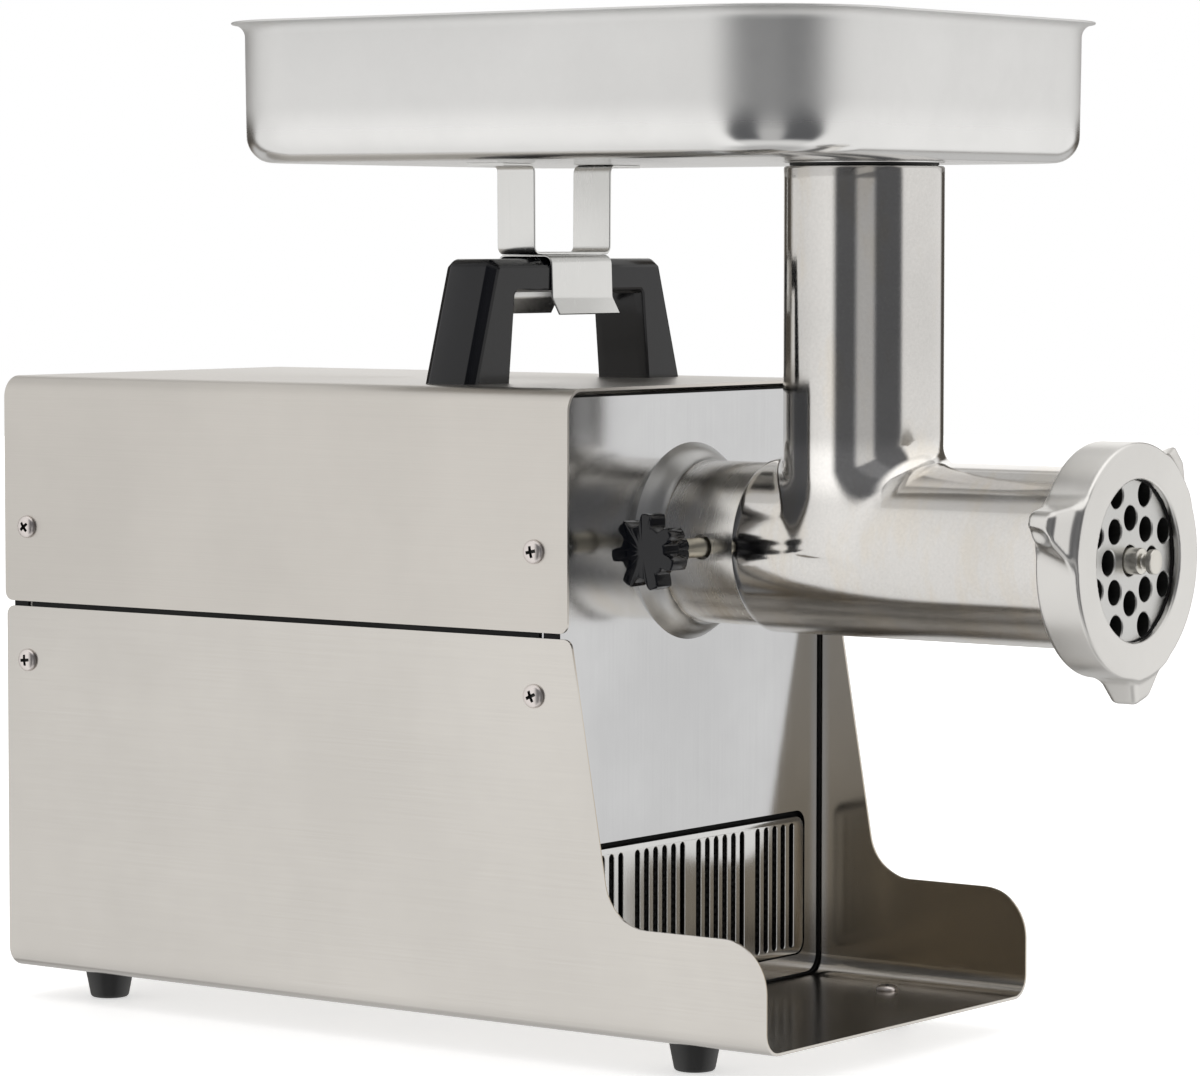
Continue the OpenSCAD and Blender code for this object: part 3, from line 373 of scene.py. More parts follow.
def make_floor():
    bm = bmesh.new()
    rings, segs = [0.0, 0.4, 0.8, 1.6, 3.2, 6.0], 64
    last = [bm.verts.new((0, 0, -0.0002))]
    for r in rings[1:]:
        ring = [bm.verts.new((r * math.cos(2 * math.pi * i / segs), r * math.sin(2 * math.pi * i / segs), -0.0002)) for i in range(segs)]
        for i in range(segs):
            j = (i + 1) % segs
            bm.faces.new([last[0], ring[i], ring[j]] if len(last) == 1 else [last[i], ring[i], ring[j], last[j]])
        last = ring
    me = bpy.data.meshes.new("floor")
    bm.to_mesh(me)
    bm.free()
    ob = bpy.data.objects.new("floor", me)
    SCENE.collection.objects.link(ob)
    m, t, b = principled("m_floor", (0.86, 0.86, 0.86), 0.0, 0.55)
    n = t.noise(t.coords((1, 1, 1)), 3.0, 3.0)
    t.put(b, "Base Color", t.mix(t.ramp(n, 0.3, 0.7), (0.90, 0.90, 0.90), (0.93, 0.93, 0.93)))
    b.inputs["Specular IOR Level"].default_value = 0.2
    glow = t.node("ShaderNodeEmission", ins={"Color": (1, 1, 1, 1), "Strength": 0.55})
    lit = t.node("ShaderNodeAddShader", ins={0: b.outputs[0], 1: glow.outputs[0]})
    out = [n for n in t.t.nodes if n.type == "OUTPUT_MATERIAL"][0]
    t.t.links.new(lit.outputs[0], out.inputs[0])
    ob.visible_glossy = False                    # metal mirrors the studio's own table, which the world holds
    me.materials.append(m)


make_world()
make_floor()
SCENE.view_settings.view_transform = "Standard"
SCENE.view_settings.look = "None"
SCENE.cycles.use_denoising = True


def area(name, at, aim, size, power, colour=(1, 1, 1)):
    d = bpy.data.lights.new(name, "AREA")
    d.shape = "RECTANGLE"
    d.size, d.size_y = size
    d.energy = power
    d.color = colour
    ob = bpy.data.objects.new(name, d)
    at, aim = Vector(at), Vector(aim)
    ob.location = at
    ob.rotation_euler = (aim - at).to_track_quat("-Z", "Y").to_euler()
    SCENE.collection.objects.link(ob)
    return ob


# ------------------------------------------------------------------ mesh helpers
ORIGIN = mm(0, 0, 0)


def piece(name, verts, faces, body, mat, replaces=(), angle=32.0, merge=0.00001, alt=None):
    """A mesh piece from points in the CAD source's mm. Closed, outward normals, smooth with sharp edges kept.
    alt picks the faces that take the second material, from their centres."""
    bm = bmesh.new()
    vs = [bm.verts.new(mm(*v)) for v in verts]
    for f in faces:
        try:
            bm.faces.new([vs[i] for i in f])
        except ValueError:
            pass
    if merge:
        bmesh.ops.remove_doubles(bm, verts=bm.verts, dist=merge)
    bmesh.ops.recalc_face_normals(bm, faces=bm.faces)
    if alt:
        for f in bm.faces:
            c = (f.calc_center_median() - ORIGIN) * 1000
            if alt(c.x, c.y, c.z):
                f.material_index = 1
    return piece_from_bm(name, bm, body, mat, replaces, angle)


def piece_from_bm(name, bm, body, mat, replaces=(), angle=32.0):
    if angle is not None:
        lim = math.radians(angle)
        for e in bm.edges:
            e.smooth = len(e.link_faces) == 2 and e.calc_face_angle(0.0) < lim
    for f in bm.faces:
        f.smooth = True
    me = bpy.data.meshes.new(name)
    bm.to_mesh(me)
    bm.free()
    ob = bpy.data.objects.new(name, me)
    SCENE.collection.objects.link(ob)
    mats = mat if isinstance(mat, (list, tuple)) else [mat]
    for m in mats:
        me.materials.append(MATS[m])
    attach(ob, body)
    if replaces:
        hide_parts(*replaces)
    return ob


def basis(axis):
    """Two directions across a unit axis, so that u x v = axis."""
    a = np.array(axis, float)
    u = np.array((0, 0, 1.0)) if abs(a[2]) < 0.9 else np.array((1.0, 0, 0))
    u = np.cross(np.cross(a, u), a)
    u /= np.linalg.norm(u)
    return u, np.cross(a, u)


def lathe(profile, at, axis, segs=96):
    """verts, faces of a closed profile [(r, h), ...] turned about an axis; h runs along it from at."""
    at, a = np.array(at, float), np.array(axis, float)
    u, v = basis(axis)
    verts, faces = [], []
    n = len(profile)
    for i in range(segs):
        t = 2 * math.pi * i / segs
        d = u * math.cos(t) + v * math.sin(t)
        for r, h in profile:
            verts.append(tuple(at + d * r + a * h))
    for i in range(segs):
        j = (i + 1) % segs
        for k in range(n):
            l = (k + 1) % n
            if profile[k][0] < 1e-6 and profile[l][0] < 1e-6:
                continue
            f = [i * n + k, j * n + k, j * n + l, i * n + l]
            if profile[k][0] < 1e-6:
                f = [i * n + k, j * n + l, i * n + l]
            elif profile[l][0] < 1e-6:
                f = [i * n + k, j * n + k, i * n + l]
            faces.append(f)
    return verts, faces


def join(*parts):
    verts, faces = [], []
    for v, f in parts:
        base = len(verts)
        verts += list(v)
        faces += [[i + base for i in g] for g in f]
    return verts, faces


def arc(cx, cy, r, a0, a1, n):
    return [(cx + r * math.cos(math.radians(a0 + (a1 - a0) * i / n)), cy + r * math.sin(math.radians(a0 + (a1 - a0) * i / n))) for i in range(n + 1)]


# ------------------------------------------------------------------ distance fields
def round_union(a, b, r):
    u, v = np.maximum(r - a, 0), np.maximum(r - b, 0)
    return np.maximum(r, np.minimum(a, b)) - np.sqrt(u * u + v * v)


def round_max(a, b, r):
    u, v = np.maximum(r + a, 0), np.maximum(r + b, 0)
    return np.minimum(-r, np.maximum(a, b)) + np.sqrt(u * u + v * v)


def surface_net(f, lo, hi, h):
    """Quad mesh of f = 0, its points then moved onto the surface."""
    ax = [lo[i] + h * np.arange(int(math.ceil((hi[i] - lo[i]) / h)) + 1) for i in range(3)]
    V = f(ax[0][:, None, None], ax[1][None, :, None], ax[2][None, None, :]).astype(np.float32)
    S = V < 0
    c = np.zeros([n - 1 for n in V.shape], np.int8)
    for dx in (0, 1):
        for dy in (0, 1):
            for dz in (0, 1):
                c += S[dx:dx + c.shape[0], dy:dy + c.shape[1], dz:dz + c.shape[2]]
    idx = np.argwhere((c > 0) & (c < 8))
    num = -np.ones(c.shape, np.int32)
    num[tuple(idx.T)] = np.arange(len(idx))
    acc, cnt = np.zeros((len(idx), 3)), np.zeros(len(idx))
    corners = [(x, y, z) for x in (0, 1) for y in (0, 1) for z in (0, 1)]
    for p in corners:
        for k in range(3):
            if p[k]:
                continue
            q = list(p)
            q[k] = 1
            va = V[tuple((idx + p).T)]
            vb = V[tuple((idx + q).T)]
            cross = (va < 0) != (vb < 0)
            t = np.where(cross, va / np.where(cross, va - vb, 1), 0)
            pt = idx + np.array(p) + np.outer(t, np.eye(3)[k])
            acc += np.where(cross[:, None], pt, 0)
            cnt += cross
    P = np.array(lo) + h * acc / cnt[:, None]
    faces = []
    for k in range(3):
        i, j = (k + 1) % 3, (k + 2) % 3
        sl = [slice(None)] * 3
        sl2 = list(sl)
        sl[k], sl2[k] = slice(0, -1), slice(1, None)
        d = S[tuple(sl)].astype(np.int8) - S[tuple(sl2)].astype(np.int8)
        e = np.argwhere(d != 0)
        e = e[(e[:, i] > 0) & (e[:, j] > 0) & (e[:, i] < c.shape[i]) & (e[:, j] < c.shape[j])]
        sign = d[tuple(e.T)]
        quad = []
        for di, dj in ((1, 1), (0, 1), (0, 0), (1, 0)):
            o = e.copy()
            o[:, i] -= di
            o[:, j] -= dj
            quad.append(num[tuple(o.T)])
        quad = np.array(quad).T
        quad[sign < 0] = quad[sign < 0][:, ::-1]
        faces.append(quad)
    faces = np.concatenate(faces)
    return settle(f, P), faces


def settle(f, P, rounds=4):
    """Moves points onto f = 0 along its slope."""
    e = 0.01
    for _ in range(rounds):
        x, y, z = P.T
        d = f(x, y, z)
        g = np.stack([f(x + e, y, z) - f(x - e, y, z), f(x, y + e, z) - f(x, y - e, z), f(x, y, z + e) - f(x, y, z - e)], 1) / (2 * e)
        n2 = np.maximum((g * g).sum(1), 0.2)
        P = P - g * (np.clip(d, -1, 1) / n2)[:, None]
    return P


# ------------------------------------------------------------------ meat tray
def tray_mesh():
    wx, y0, y1, rc = 116.8, -124.6, 170.6, 45.0
    centres = [(wx - rc, y1 - rc, 0), (-wx + rc, y1 - rc, 90), (-wx + rc, y0 + rc, 180), (wx - rc, y0 + rc, 270)]
    segs = 28
    path = []
    for cx, cy, a in centres:
        for i in range(segs + 1):
            t = math.radians(a + 90 * i / segs)
            path.append((cx, cy, math.cos(t), math.sin(t)))
    t0, z0, z1 = 0.9, 356.6, 413.6
    # outside, from the floor up over the flared rim, and back down the inside; the wall leans out a little
    outer = [(14, z0)] + arc(rc - 11.1, z0 + 10.6, 10.6, -90, 0, 12) + [(rc - 0.35, z0 + 22), (rc - 0.1, z0 + 40)]
    outer += arc(rc + 5.2, z1 - 6.2, 5.2, 180, 96, 10)
    lip = arc(rc + 5.2, z1 - 0.55, 0.45, -90, 90, 6)
    inner = arc(rc + 5.2, z1 - 6.2, 6.1, 96, 180, 10) + [(rc - 1.0, z0 + 40), (rc - 1.25, z0 + 22)] + arc(rc - 11.1, z0 + 10.6, 9.7, 0, -90, 12) + [(14, z0 + t0)]
    prof = outer + lip + inner
    n = len(prof)
    verts, faces = [], []
    for cx, cy, nx, ny in path:
        for r, z in prof:
            verts.append((cx + nx * r, cy + ny * r, z))
    m = len(path)
    for i in range(m):
        j = (i + 1) % m
        for k in range(n - 1):
            faces.append([i * n + k, j * n + k, j * n + k + 1, i * n + k + 1])
    # floor with the spout's hole
    ty, hs = -75.5, 72
    low = [i * n for i in range(m)]
    top = [i * n + n - 1 for i in range(m)]
    zt = 354.6
    spout = [(34.2, z0), (33.0, z0 - 0.05), (32.2, z0 - 0.25), (31.85, z0 - 0.6), (31.8, zt + 1.25), (31.5, zt + 1.2), (29.8, zt + 1.2), (29.6, zt + 1.0), (29.6, zt + 0.25), (26.8, zt + 0.25), (26.6, zt), (26.6, 330.8), (26.4, 330.3), (26.0, 330.2), (25.5, 330.5),
             (25.4, 331), (25.4, z0 - 3)] + [(28.4 - 3 * math.cos(t), z0 - 2 + 3 * math.sin(t)) for t in (0.0, 0.35, 0.7, 1.05, 1.35, math.pi / 2)] + [(30.5, z0 + t0)]
    base = len(verts)
    sn = len(spout)
    for i in range(hs):
        t = 2 * math.pi * i / hs
        for r, z in spout:
            verts.append((r * math.cos(t), ty + r * math.sin(t), z))
    for i in range(hs):
        j = (i + 1) % hs
        for k in range(sn - 1):
            faces.append([base + i * sn + k, base + j * sn + k, base + j * sn + k + 1, base + i * sn + k + 1])
    from mathutils.geometry import tessellate_polygon
    for loop, hole in ((low, [base + i * sn for i in range(hs)]), (top, [base + i * sn + sn - 1 for i in range(hs)])):
        both = loop + hole
        tris = tessellate_polygon([[Vector(verts[i]) for i in loop], [Vector(verts[i]) for i in hole]])
        faces += [[both[a], both[b], both[c]] for a, b, c in tris]
    return verts, faces


tv, tf = tray_mesh()
# the spout's faces in the gap under the throat's rim take the near-black second material: painted shade in that gap
piece("tray_pressed", tv, tf, "tray", ["m_tray", "m_painted_recess_shade"], ["meat_tray", "tray_spout"], 40,
      alt=lambda x, y, z: z < 355.79 and 28.5 < math.hypot(x, y + 75.5) < 31.78)


# ------------------------------------------------------------------ grinding head
AX, TY = 203.0, -75.5


def head_field(x, y, z):
    rb = np.sqrt(x * x + (z - AX) ** 2)
    rt = np.sqrt(x * x + (y - TY) ** 2)
    barrel = rb - 35.2
    throat = np.maximum(rt - 31.9, AX + 4 - z)
    k = np.clip((-46.0 - y) / 34.0, 0, 1)
    out = round_union(barrel, throat, 3.4 + 5.6 * k * k * (3 - 2 * k))
    hollow = inside_field(x, y, z, rb, rt)
    return np.maximum(out, -hollow)


def inside_field(x, y, z, rb, rt):
    bore = np.minimum(np.maximum(rb - 27.6, y + 52.0), rb - 10.05)
    return np.minimum(bore, np.maximum(rt - 27.0, AX - z))


def head():
    h = 1.35
    lo, hi = (-38.3, -183.1, 165.3), (38.3, -37.2, 351.8)
    P, F = surface_net(head_field, lo, hi, h)
    bm = bmesh.new()
    vs = [bm.verts.new(p) for p in P]
    for q in F:
        q = [vs[i] for i in dict.fromkeys(q)]
        if len(q) > 2:
            try:
                bm.faces.new(q)
            except ValueError:
                pass
    # clean cuts, then snap the cut loops onto their true circles
    cuts = [((0, -39.6, 0), (0, 1, 0)), ((0, -180.0, 0), (0, -1, 0)), ((0, 0, 349.0), (0, 0, 1))]
    for co, no in cuts:
        geom = bm.verts[:] + bm.edges[:] + bm.faces[:]
        bmesh.ops.bisect_plane(bm, geom=geom, plane_co=co, plane_no=no, clear_outer=True, dist=0.02)
    rims = []
    for (co, no), (r_out, r_in) in zip(cuts, ((35.2, 10.05), (35.2, 27.6), (31.9, 27.0))):
        k = [abs(v) for v in no].index(1)
        centre = np.array((0, 0, AX)) if k == 1 else np.array((0, TY, 0))
        keep = [0, 2] if k == 1 else [0, 1]
        edges = [e for e in bm.edges if len(e.link_faces) == 1 and all(abs(v.co[k] - co[k]) < 0.05 for v in e.verts)]
        verts = {v for e in edges for v in e.verts}
        for v in verts:
            d = np.array([v.co[i] - centre[i] for i in keep])
            r = np.linalg.norm(d)
            want = r_out if abs(r - r_out) < abs(r - r_in) else r_in
            for i, dd in zip(keep, d):
                v.co[i] = centre[i] + dd * want / r
            v.co[k] = co[k]
        rims.append((k, centre, keep, edges, r_out, r_in, co[k], no[k]))

    def grow(edges, k, centre, keep, profile):
        """Rings of the same angles as a cut loop, at each (radius, height) of profile. Returns the last ring's edges."""
        ring = {}
        for v in {v for e in edges for v in e.verts}:
            d = np.array([v.co[i] - centre[i] for i in keep])
            ring[v] = d / np.linalg.norm(d)
        pairs = [tuple(e.verts) for e in edges]
        last = {v: v for v in ring}
        for r, hgt in profile:
            new = {}
            for v, d in ring.items():
                co = [0, 0, 0]
                co[k] = hgt
                for i, dd in zip(keep, d):
                    co[i] = centre[i] + dd * r
                new[v] = bm.verts.new(co)
            for a, b in pairs:
                bm.faces.new([last[a], last[b], new[b], new[a]])
            last = new
        return [bm.edges.get((last[a], last[b])) for a, b in pairs]

    profs = [
        ([(35.2, -37.1), (35.05, -36.5), (34.6, -36.05), (26.6, -36.0), (26.1, -35.6), (26.1, -3.2), (25.4, -2.5), (22, -2.5)], [(10.05, -2.9), (10.5, -2.5)]),
        ([(35.2, -183.0), (35.9, -183.5), (39.6, -183.5), (40.0, -183.9), (40.0, -196.8), (39.4, -197.4), (38, -197.4)], [(27.6, -189.6), (28.0, -190.0), (35.15, -190.0), (35.15, -197.0), (35.6, -197.4)]),
        ([(31.9, 353.5), (31.75, 354.15), (31.35, 354.5), (30.9, 354.6), (30, 354.6)], [(27.0, 354.0), (27.4, 354.5), (28, 354.6)]),
    ]
    for (k, centre, keep, edges, r_out, r_in, level, sign), (po, pi) in zip(rims, profs):
        mid = (r_out + r_in) / 2
        outer = [e for e in edges if np.linalg.norm([e.verts[0].co[i] - centre[i] for i in keep]) > mid]
        inner = [e for e in edges if e not in outer]
        a = grow(outer, k, centre, keep, po)
        b = grow(inner, k, centre, keep, pi)
        bmesh.ops.bridge_loops(bm, edges=a + b)
    bmesh.ops.remove_doubles(bm, verts=bm.verts, dist=0.02)
    bmesh.ops.recalc_face_normals(bm, faces=bm.faces)
    # faces inside the bore and the throat take the near-black second material: painted shade in the hollow
    for f in bm.faces:
        x, y, z = f.calc_center_median()
        rb, rt = math.hypot(x, z - AX), math.hypot(x, y - TY)
        if z < 335 and -189 < y and (inside_field(x, y, z, rb, rt) < 0.3 or rb < 26):
            f.material_index = 1
    for v in bm.verts:
        v.co = mm(*v.co)
    piece_from_bm("head_cast", bm, "machine", ["m_cast", "m_painted_recess_shade"], ["head_barrel", "head_throat"], 38)


head()


# ------------------------------------------------------------------ ring nut
def ring_field(x, y, z):
    zz = z - AX
    r = np.sqrt(x * x + zz * zz)
    out = round_max(r - 45.5, round_max(-202.0 - y, y + 182.8, 1.0), 1.5)
    for deg in (45, 165, 285):
        c, s = math.cos(math.radians(deg)), math.sin(math.radians(deg))
        u = x * c + zz * s                      # outwards
        w = -x * s + zz * c                     # across
        back = np.clip((y + 199.0) / 16.0, 0, 1)
        taper = (u - 42) * 0.47
        side = np.maximum(w - (12.8 - taper - 5.5 * back), -w - (13.2 - taper)) * 0.90
        front = ((-201.0 - y) + (u - 42) * 0.34) * 0.93
        rear = ((y + 183.2) + (u - 42) * 0.10) * 0.99
        lug = round_max(round_max(side, round_max(front, rear, 2.0), 2.4), round_max(u - 57.4, 36 - u, 1.2), 2.6)
        scoop = np.sqrt((u - 56.5) ** 2 + (w - 5.2) ** 2 * 0.8 + (y + 186.5) ** 2 * 0.35) - 5.0
        lug = round_max(lug, -scoop, 1.2)
        out = round_union(out, lug, 3.4)
    out = np.maximum(out, -202.0 - y)
    flare = np.maximum(0, 0.8 - (y + 202.0)) + 0.9 * np.clip((y + 199.1) / 0.5, 0, 1)
    hole = r - (31.3 + flare)
    inside = np.maximum(r - 40.3, -(y + 198.1))
    return np.maximum(np.maximum(out, -hole), -inside)


P, F = surface_net(ring_field, (-60.3, -203.3, 142.3), (60.3, -181.3, 263.7), 0.62)
piece("ring_nut_cast", [tuple(p) for p in P], [list(q) for q in F], "ring", "m_ring", ["ring_nut"], 42)

# a near-black ring at the plate's rim inside the nut: painted shadow along the contact line
gap_ring = [(31.0, -198.75), (31.95, -198.75), (32.0, -198.7), (32.0, -198.12), (31.95, -198.07), (31.0, -198.07), (30.95, -198.12), (30.95, -198.7), (31.0, -198.75)]
v, f = lathe([(r, y + 198) for r, y in gap_ring], (0, -198, AX), (0, 1, 0), 96)
piece("plate_painted_shadow_ring", v, f, "ring", "m_filter", (), 30)


# ------------------------------------------------------------------ grinding plate and stud
def plate():
    from mathutils.geometry import tessellate_polygon
    holes = [(0, 0, 6.0)]
    for i in range(8):
        for r, off in ((16.4, 0.0), (27.3, 22.5)):
            t = math.radians(45 * i + off)
            holes.append((r * math.cos(t), r * math.sin(t), 4.8))
    yf, yb, seg = -198.0, -190.0, 40
    verts, faces = [], []

    def loop(cx, cz, r, y, n):
        b = len(verts)
        verts.extend((cx + r * math.cos(2 * math.pi * i / n), y, AX + cz + r * math.sin(2 * math.pi * i / n)) for i in range(n))
        return list(range(b, b + n))

    def strip(a, b):
        n = len(a)
        for i in range(n):
            j = (i + 1) % n
            faces.append([a[i], a[j], b[j], b[i]])

    fo, bo = loop(0, 0, 34.5, yf, 128), loop(0, 0, 35.0, yb, 128)
    fo2 = loop(0, 0, 35.0, yf + 0.5, 128)
    strip(fo, fo2)
    strip(fo2, bo)
    fl, bl = [fo], [bo]
    for cx, cz, r in holes:
        a = loop(cx, cz, r + 0.55, yf, seg)
        b = loop(cx, cz, r + 0.12, yf + 0.3, seg)
        c = loop(cx, cz, r, yf + 0.65, seg)
        d = loop(cx, cz, r, yb, seg)
        strip(a, b)
        strip(b, c)
        strip(c, d)
        fl.append(a)
        bl.append(d)
    for loops in (fl, bl):
        flat = [i for l in loops for i in l]
        tris = tessellate_polygon([[Vector((verts[i][0], verts[i][2], 0)) for i in l] for l in loops])
        faces.extend([flat[a], flat[b], flat[c]] for a, b, c in tris)

    # the walls of the holes take the near-black second material: painted shade inside them
    def in_hole(x, y, z):
        return -197.3 < y < -190.1 and any(math.hypot(x - cx, z - AX - cz) < r + 0.15 for cx, cz, r in holes[1:])

    piece("plate_ground", verts, faces, "plate", ["m_plate", "m_painted_recess_shade"], ["grinding_plate"], 25, alt=in_hole)


plate()
stud = [(0, -209.5), (4.1, -209.5), (4.55, -209.3), (4.8, -208.9), (4.8, -207.1), (4.5, -206.7), (2.9, -206.5), (2.6, -206.2), (2.6, -204.3), (2.9, -203.9), (4.5, -203.5), (5.0, -203.1), (5.15, -202.6), (5.15, -189.8), (0, -189.8)]
square = ([(x, y, AX + z) for y in (-189.8, -178.0) for x, z in ((-5.5, -5.5), (5.5, -5.5), (5.5, 5.5), (-5.5, 5.5))], [[0, 1, 2, 3], [4, 5, 6, 7], [0, 1, 5, 4], [1, 2, 6, 5], [2, 3, 7, 6], [3, 0, 4, 7]])
v, f = join(lathe([(r, y + 178) for r, y in stud], (0, -178, AX), (0, 1, 0), 56), square)
piece("stud_turned", v, f, "auger_train", "m_stud", ["auger_stud"], 30)


# ------------------------------------------------------------------ neck, collar and lock knob
def neck():
    prof = [(26.2, -34.6), (27.4, -35.9), (32.4, -36.0), (32.85, -35.7), (33.0, -35.2), (33.0, -4.0)]
    prof += [(33.0, -2.0), (33.15, -0.8), (33.7, 0.3), (34.6, 1.3), (35.8, 2.3), (37.0, 3.4), (38.0, 4.6), (38.9, 5.9), (39.6, 7.1), (40.3, 8.1), (46, 8.9), (46.0, 12.0), (23.5, 12.0), (23.5, -2.0), (26.2, -2.0)]
    v, f = lathe(prof, (0, 0, AX), (0, 1, 0), 128)
    bm = bmesh.new()
    vs = [bm.verts.new(mm(*p)) for p in v]
    for g in f:
        bm.faces.new([vs[i] for i in g])
    bmesh.ops.recalc_face_normals(bm, faces=bm.faces)
    for g in bm.faces:
        if (g.calc_center_median() - ORIGIN).y * 1000 > -0.9:
            g.material_index = 1
    ob = piece_from_bm("neck_turned", bm, "machine", ["m_neck", "m_collar"], ["drive_neck", "neck_collar"], 30)
    cut_v, cut_f = lathe([(0, 0), (5.1, 0), (5.1, 14), (0, 14)], (-40, -20, AX), (1, 0, 0), 40)
    me = bpy.data.meshes.new("pin_hole")
    me.from_pydata([mm(*p) for p in cut_v], [], cut_f)
    cutter = bpy.data.objects.new("pin_hole", me)
    SCENE.collection.objects.link(cutter)
    cut(ob, cutter)


def cut(ob, cutter, op="DIFFERENCE"):
    """A boolean, applied, with its cutter removed."""
    mod = ob.modifiers.new("cut", "BOOLEAN")
    mod.operation, mod.object, mod.solver = op, cutter, "EXACT"
    bpy.context.view_layer.update()
    dg = bpy.context.evaluated_depsgraph_get()
    new = bpy.data.meshes.new_from_object(ob.evaluated_get(dg))
    ob.modifiers.clear()
    old = ob.data
    ob.data = new
    bpy.data.meshes.remove(old)
    bpy.data.objects.remove(cutter)


neck()


def knob():
    seg = 168
    ang = [2 * math.pi * i / seg for i in range(seg)]
    lobes = [math.radians(a) for a in (33, 84.2, 135.6, 187, 238.5, 290, 341.4)]

    def star(t):
        d = min(abs((t - l + math.pi) % (2 * math.pi) - math.pi) for l in lobes)
        w = d / (math.pi / 7)
        # straight flanks between a broad tip and a round valley
        k = min(1, max(0, (w - 0.26) / 0.42))
        k = k * k * (3 - 2 * k)
        return 15.3 - 4.7 * k - 0.25 * (w < 0.26) * (w / 0.26) ** 2

    def hub(t):
        c = abs(math.sin(4.5 * t))
        return 8.75 - 0.75 * (1 - c) ** 1.5

    rs, rh = [star(t) for t in ang], [hub(t) for t in ang]
    rows = [(-73.0, [0.0] * seg), (-73.0, [r - 1.0 for r in rs]), (-72.85, [r - 0.45 for r in rs]), (-72.4, [r - 0.08 for r in rs]), (-71.8, rs), (-63.4, rs), (-62.8, [r - 0.15 for r in rs]), (-62.5, [r - 0.7 for r in rs]),
            (-62.5, [r + 0.3 for r in rh]), (-61.9, rh), (-53.0, [r - 0.1 for r in rh]), (-52.3, [r - 0.5 for r in rh]), (-52.0, [r - 1.1 for r in rh]), (-52.0, [4.05] * seg), (-68.0, [4.05] * seg), (-68.0, [0.0] * seg)]
    verts, faces = [], []
    for x, rr in rows:
        for t, r in zip(ang, rr):
            verts.append((x, -20 - r * math.cos(t), AX + r * math.sin(t)))
    for k in range(len(rows) - 1):
        for i in range(seg):
            j = (i + 1) % seg
            faces.append([k * seg + i, k * seg + j, (k + 1) * seg + j, (k + 1) * seg + i])
    piece("knob_moulded", verts, faces, "knob", "m_black_gloss", ["lock_knob"], 28)


knob()


# ------------------------------------------------------------------ screws
def screw_heads(name, places, body, mat, replaces, r=4.8, h=2.6, shank=2.35, length=7.0):
    """Domed pan heads with a tapered cross recess. places are (point under the head, outward direction, turn)."""
    dome = [(0, h)] + [(r * math.sin(a), 0.35 + (h - 0.35) * math.cos(a) ** 0.8) for a in [math.radians(x) for x in (9, 18, 27, 36, 45, 54, 63, 71, 78, 84)]] + [(r, 0.3), (r - 0.1, 0.08), (r - 0.3, 0.0), (shank, 0.0), (shank, -length), (0, -length)]
    v, f = lathe(dome, (0, 0, 0), (0, 0, 1), 48)
    me = bpy.data.meshes.new("head")
    me.from_pydata([Vector(p) / 1000 for p in v], [], f)
    ob = bpy.data.objects.new("head_tmp", me)
    SCENE.collection.objects.link(ob)
    bm = bmesh.new()
    bm.from_mesh(me)
    bmesh.ops.remove_doubles(bm, verts=bm.verts, dist=1e-6)
    bmesh.ops.recalc_face_normals(bm, faces=bm.faces)
    bm.to_mesh(me)
    bm.free()
    for turn in (0, 90):
        c, s = math.cos(math.radians(turn)), math.sin(math.radians(turn))
        top, bot = (2.95, 0.72, h + 0.4), (1.0, 0.5, h - 1.75)
        cv = []
        for l, w, z in (top, bot):
            for x, y in ((-l, -w), (l, -w), (l, w), (-l, w)):
                cv.append(((x * c - y * s) / 1000, (x * s + y * c) / 1000, z / 1000))
        cm = bpy.data.meshes.new("cross")
        cm.from_pydata(cv, [], [[0, 1, 2, 3], [7, 6, 5, 4], [0, 4, 5, 1], [1, 5, 6, 2], [2, 6, 7, 3], [3, 7, 4, 0]])
        bc = bmesh.new()
        bc.from_mesh(cm)
        bmesh.ops.recalc_face_normals(bc, faces=bc.faces)
        bc.to_mesh(cm)
        bc.free()
        cutter = bpy.data.objects.new("cross", cm)
        SCENE.collection.objects.link(cutter)
        cut(ob, cutter)
    one = [v.co.copy() for v in ob.data.vertices]
    polys = [list(p.vertices) for p in ob.data.polygons]

    # the faces of the cross recess take the near-black second material: painted shade in the recess
    def sunk(p):
        q, away = p.center * 1000, math.hypot(p.center.x, p.center.y) * 1000
        return q.z > 0.5 and away < 2.75 and p.normal.z < 2 and q.z < 0.35 + (h - 0.35) * max(0.0, math.cos(math.asin(min(1, away / r)))) ** 0.8 - 0.16

    deep = [sunk(p) for p in ob.data.polygons]
    bpy.data.objects.remove(ob)
    bm = bmesh.new()
    for at, out, turn in places:
        z = Vector(out)
        q = z.to_track_quat("Z", "Y").to_matrix() @ Matrix.Rotation(math.radians(turn), 3, "Z")
        vs = [bm.verts.new(mm(*at) + q @ c) for c in one]
        for p, d in zip(polys, deep):
            bm.faces.new([vs[i] for i in p]).material_index = 1 if d else 0
    bmesh.ops.recalc_face_normals(bm, faces=bm.faces)
    return piece_from_bm(name, bm, body, [mat, "m_painted_recess_shade"], replaces, 30)


side = []
for sx in (-1, 1):
    for (yy, zz), turn in zip(((16.4, 203), (288, 203), (16.4, 146), (288, 146)), (12, 38, 24, 5)):
        side.append(((sx * 95.2, yy, zz), (sx, 0, 0), turn + (30 if sx > 0 else 0)))
screw_heads("screws_side", side, "machine", "m_screw", ["side_screws"])
screw_heads("screws_floor", [((sx * 69, yy, 14.2), (0, 0, 1), 20 + 17 * i) for i, (sx, yy) in enumerate(((-1, -43), (1, -43), (-1, 266), (1, 266)))], "machine", "m_screw", ["foot_screws"], 4.6, 2.4, 2.35, 9.0)


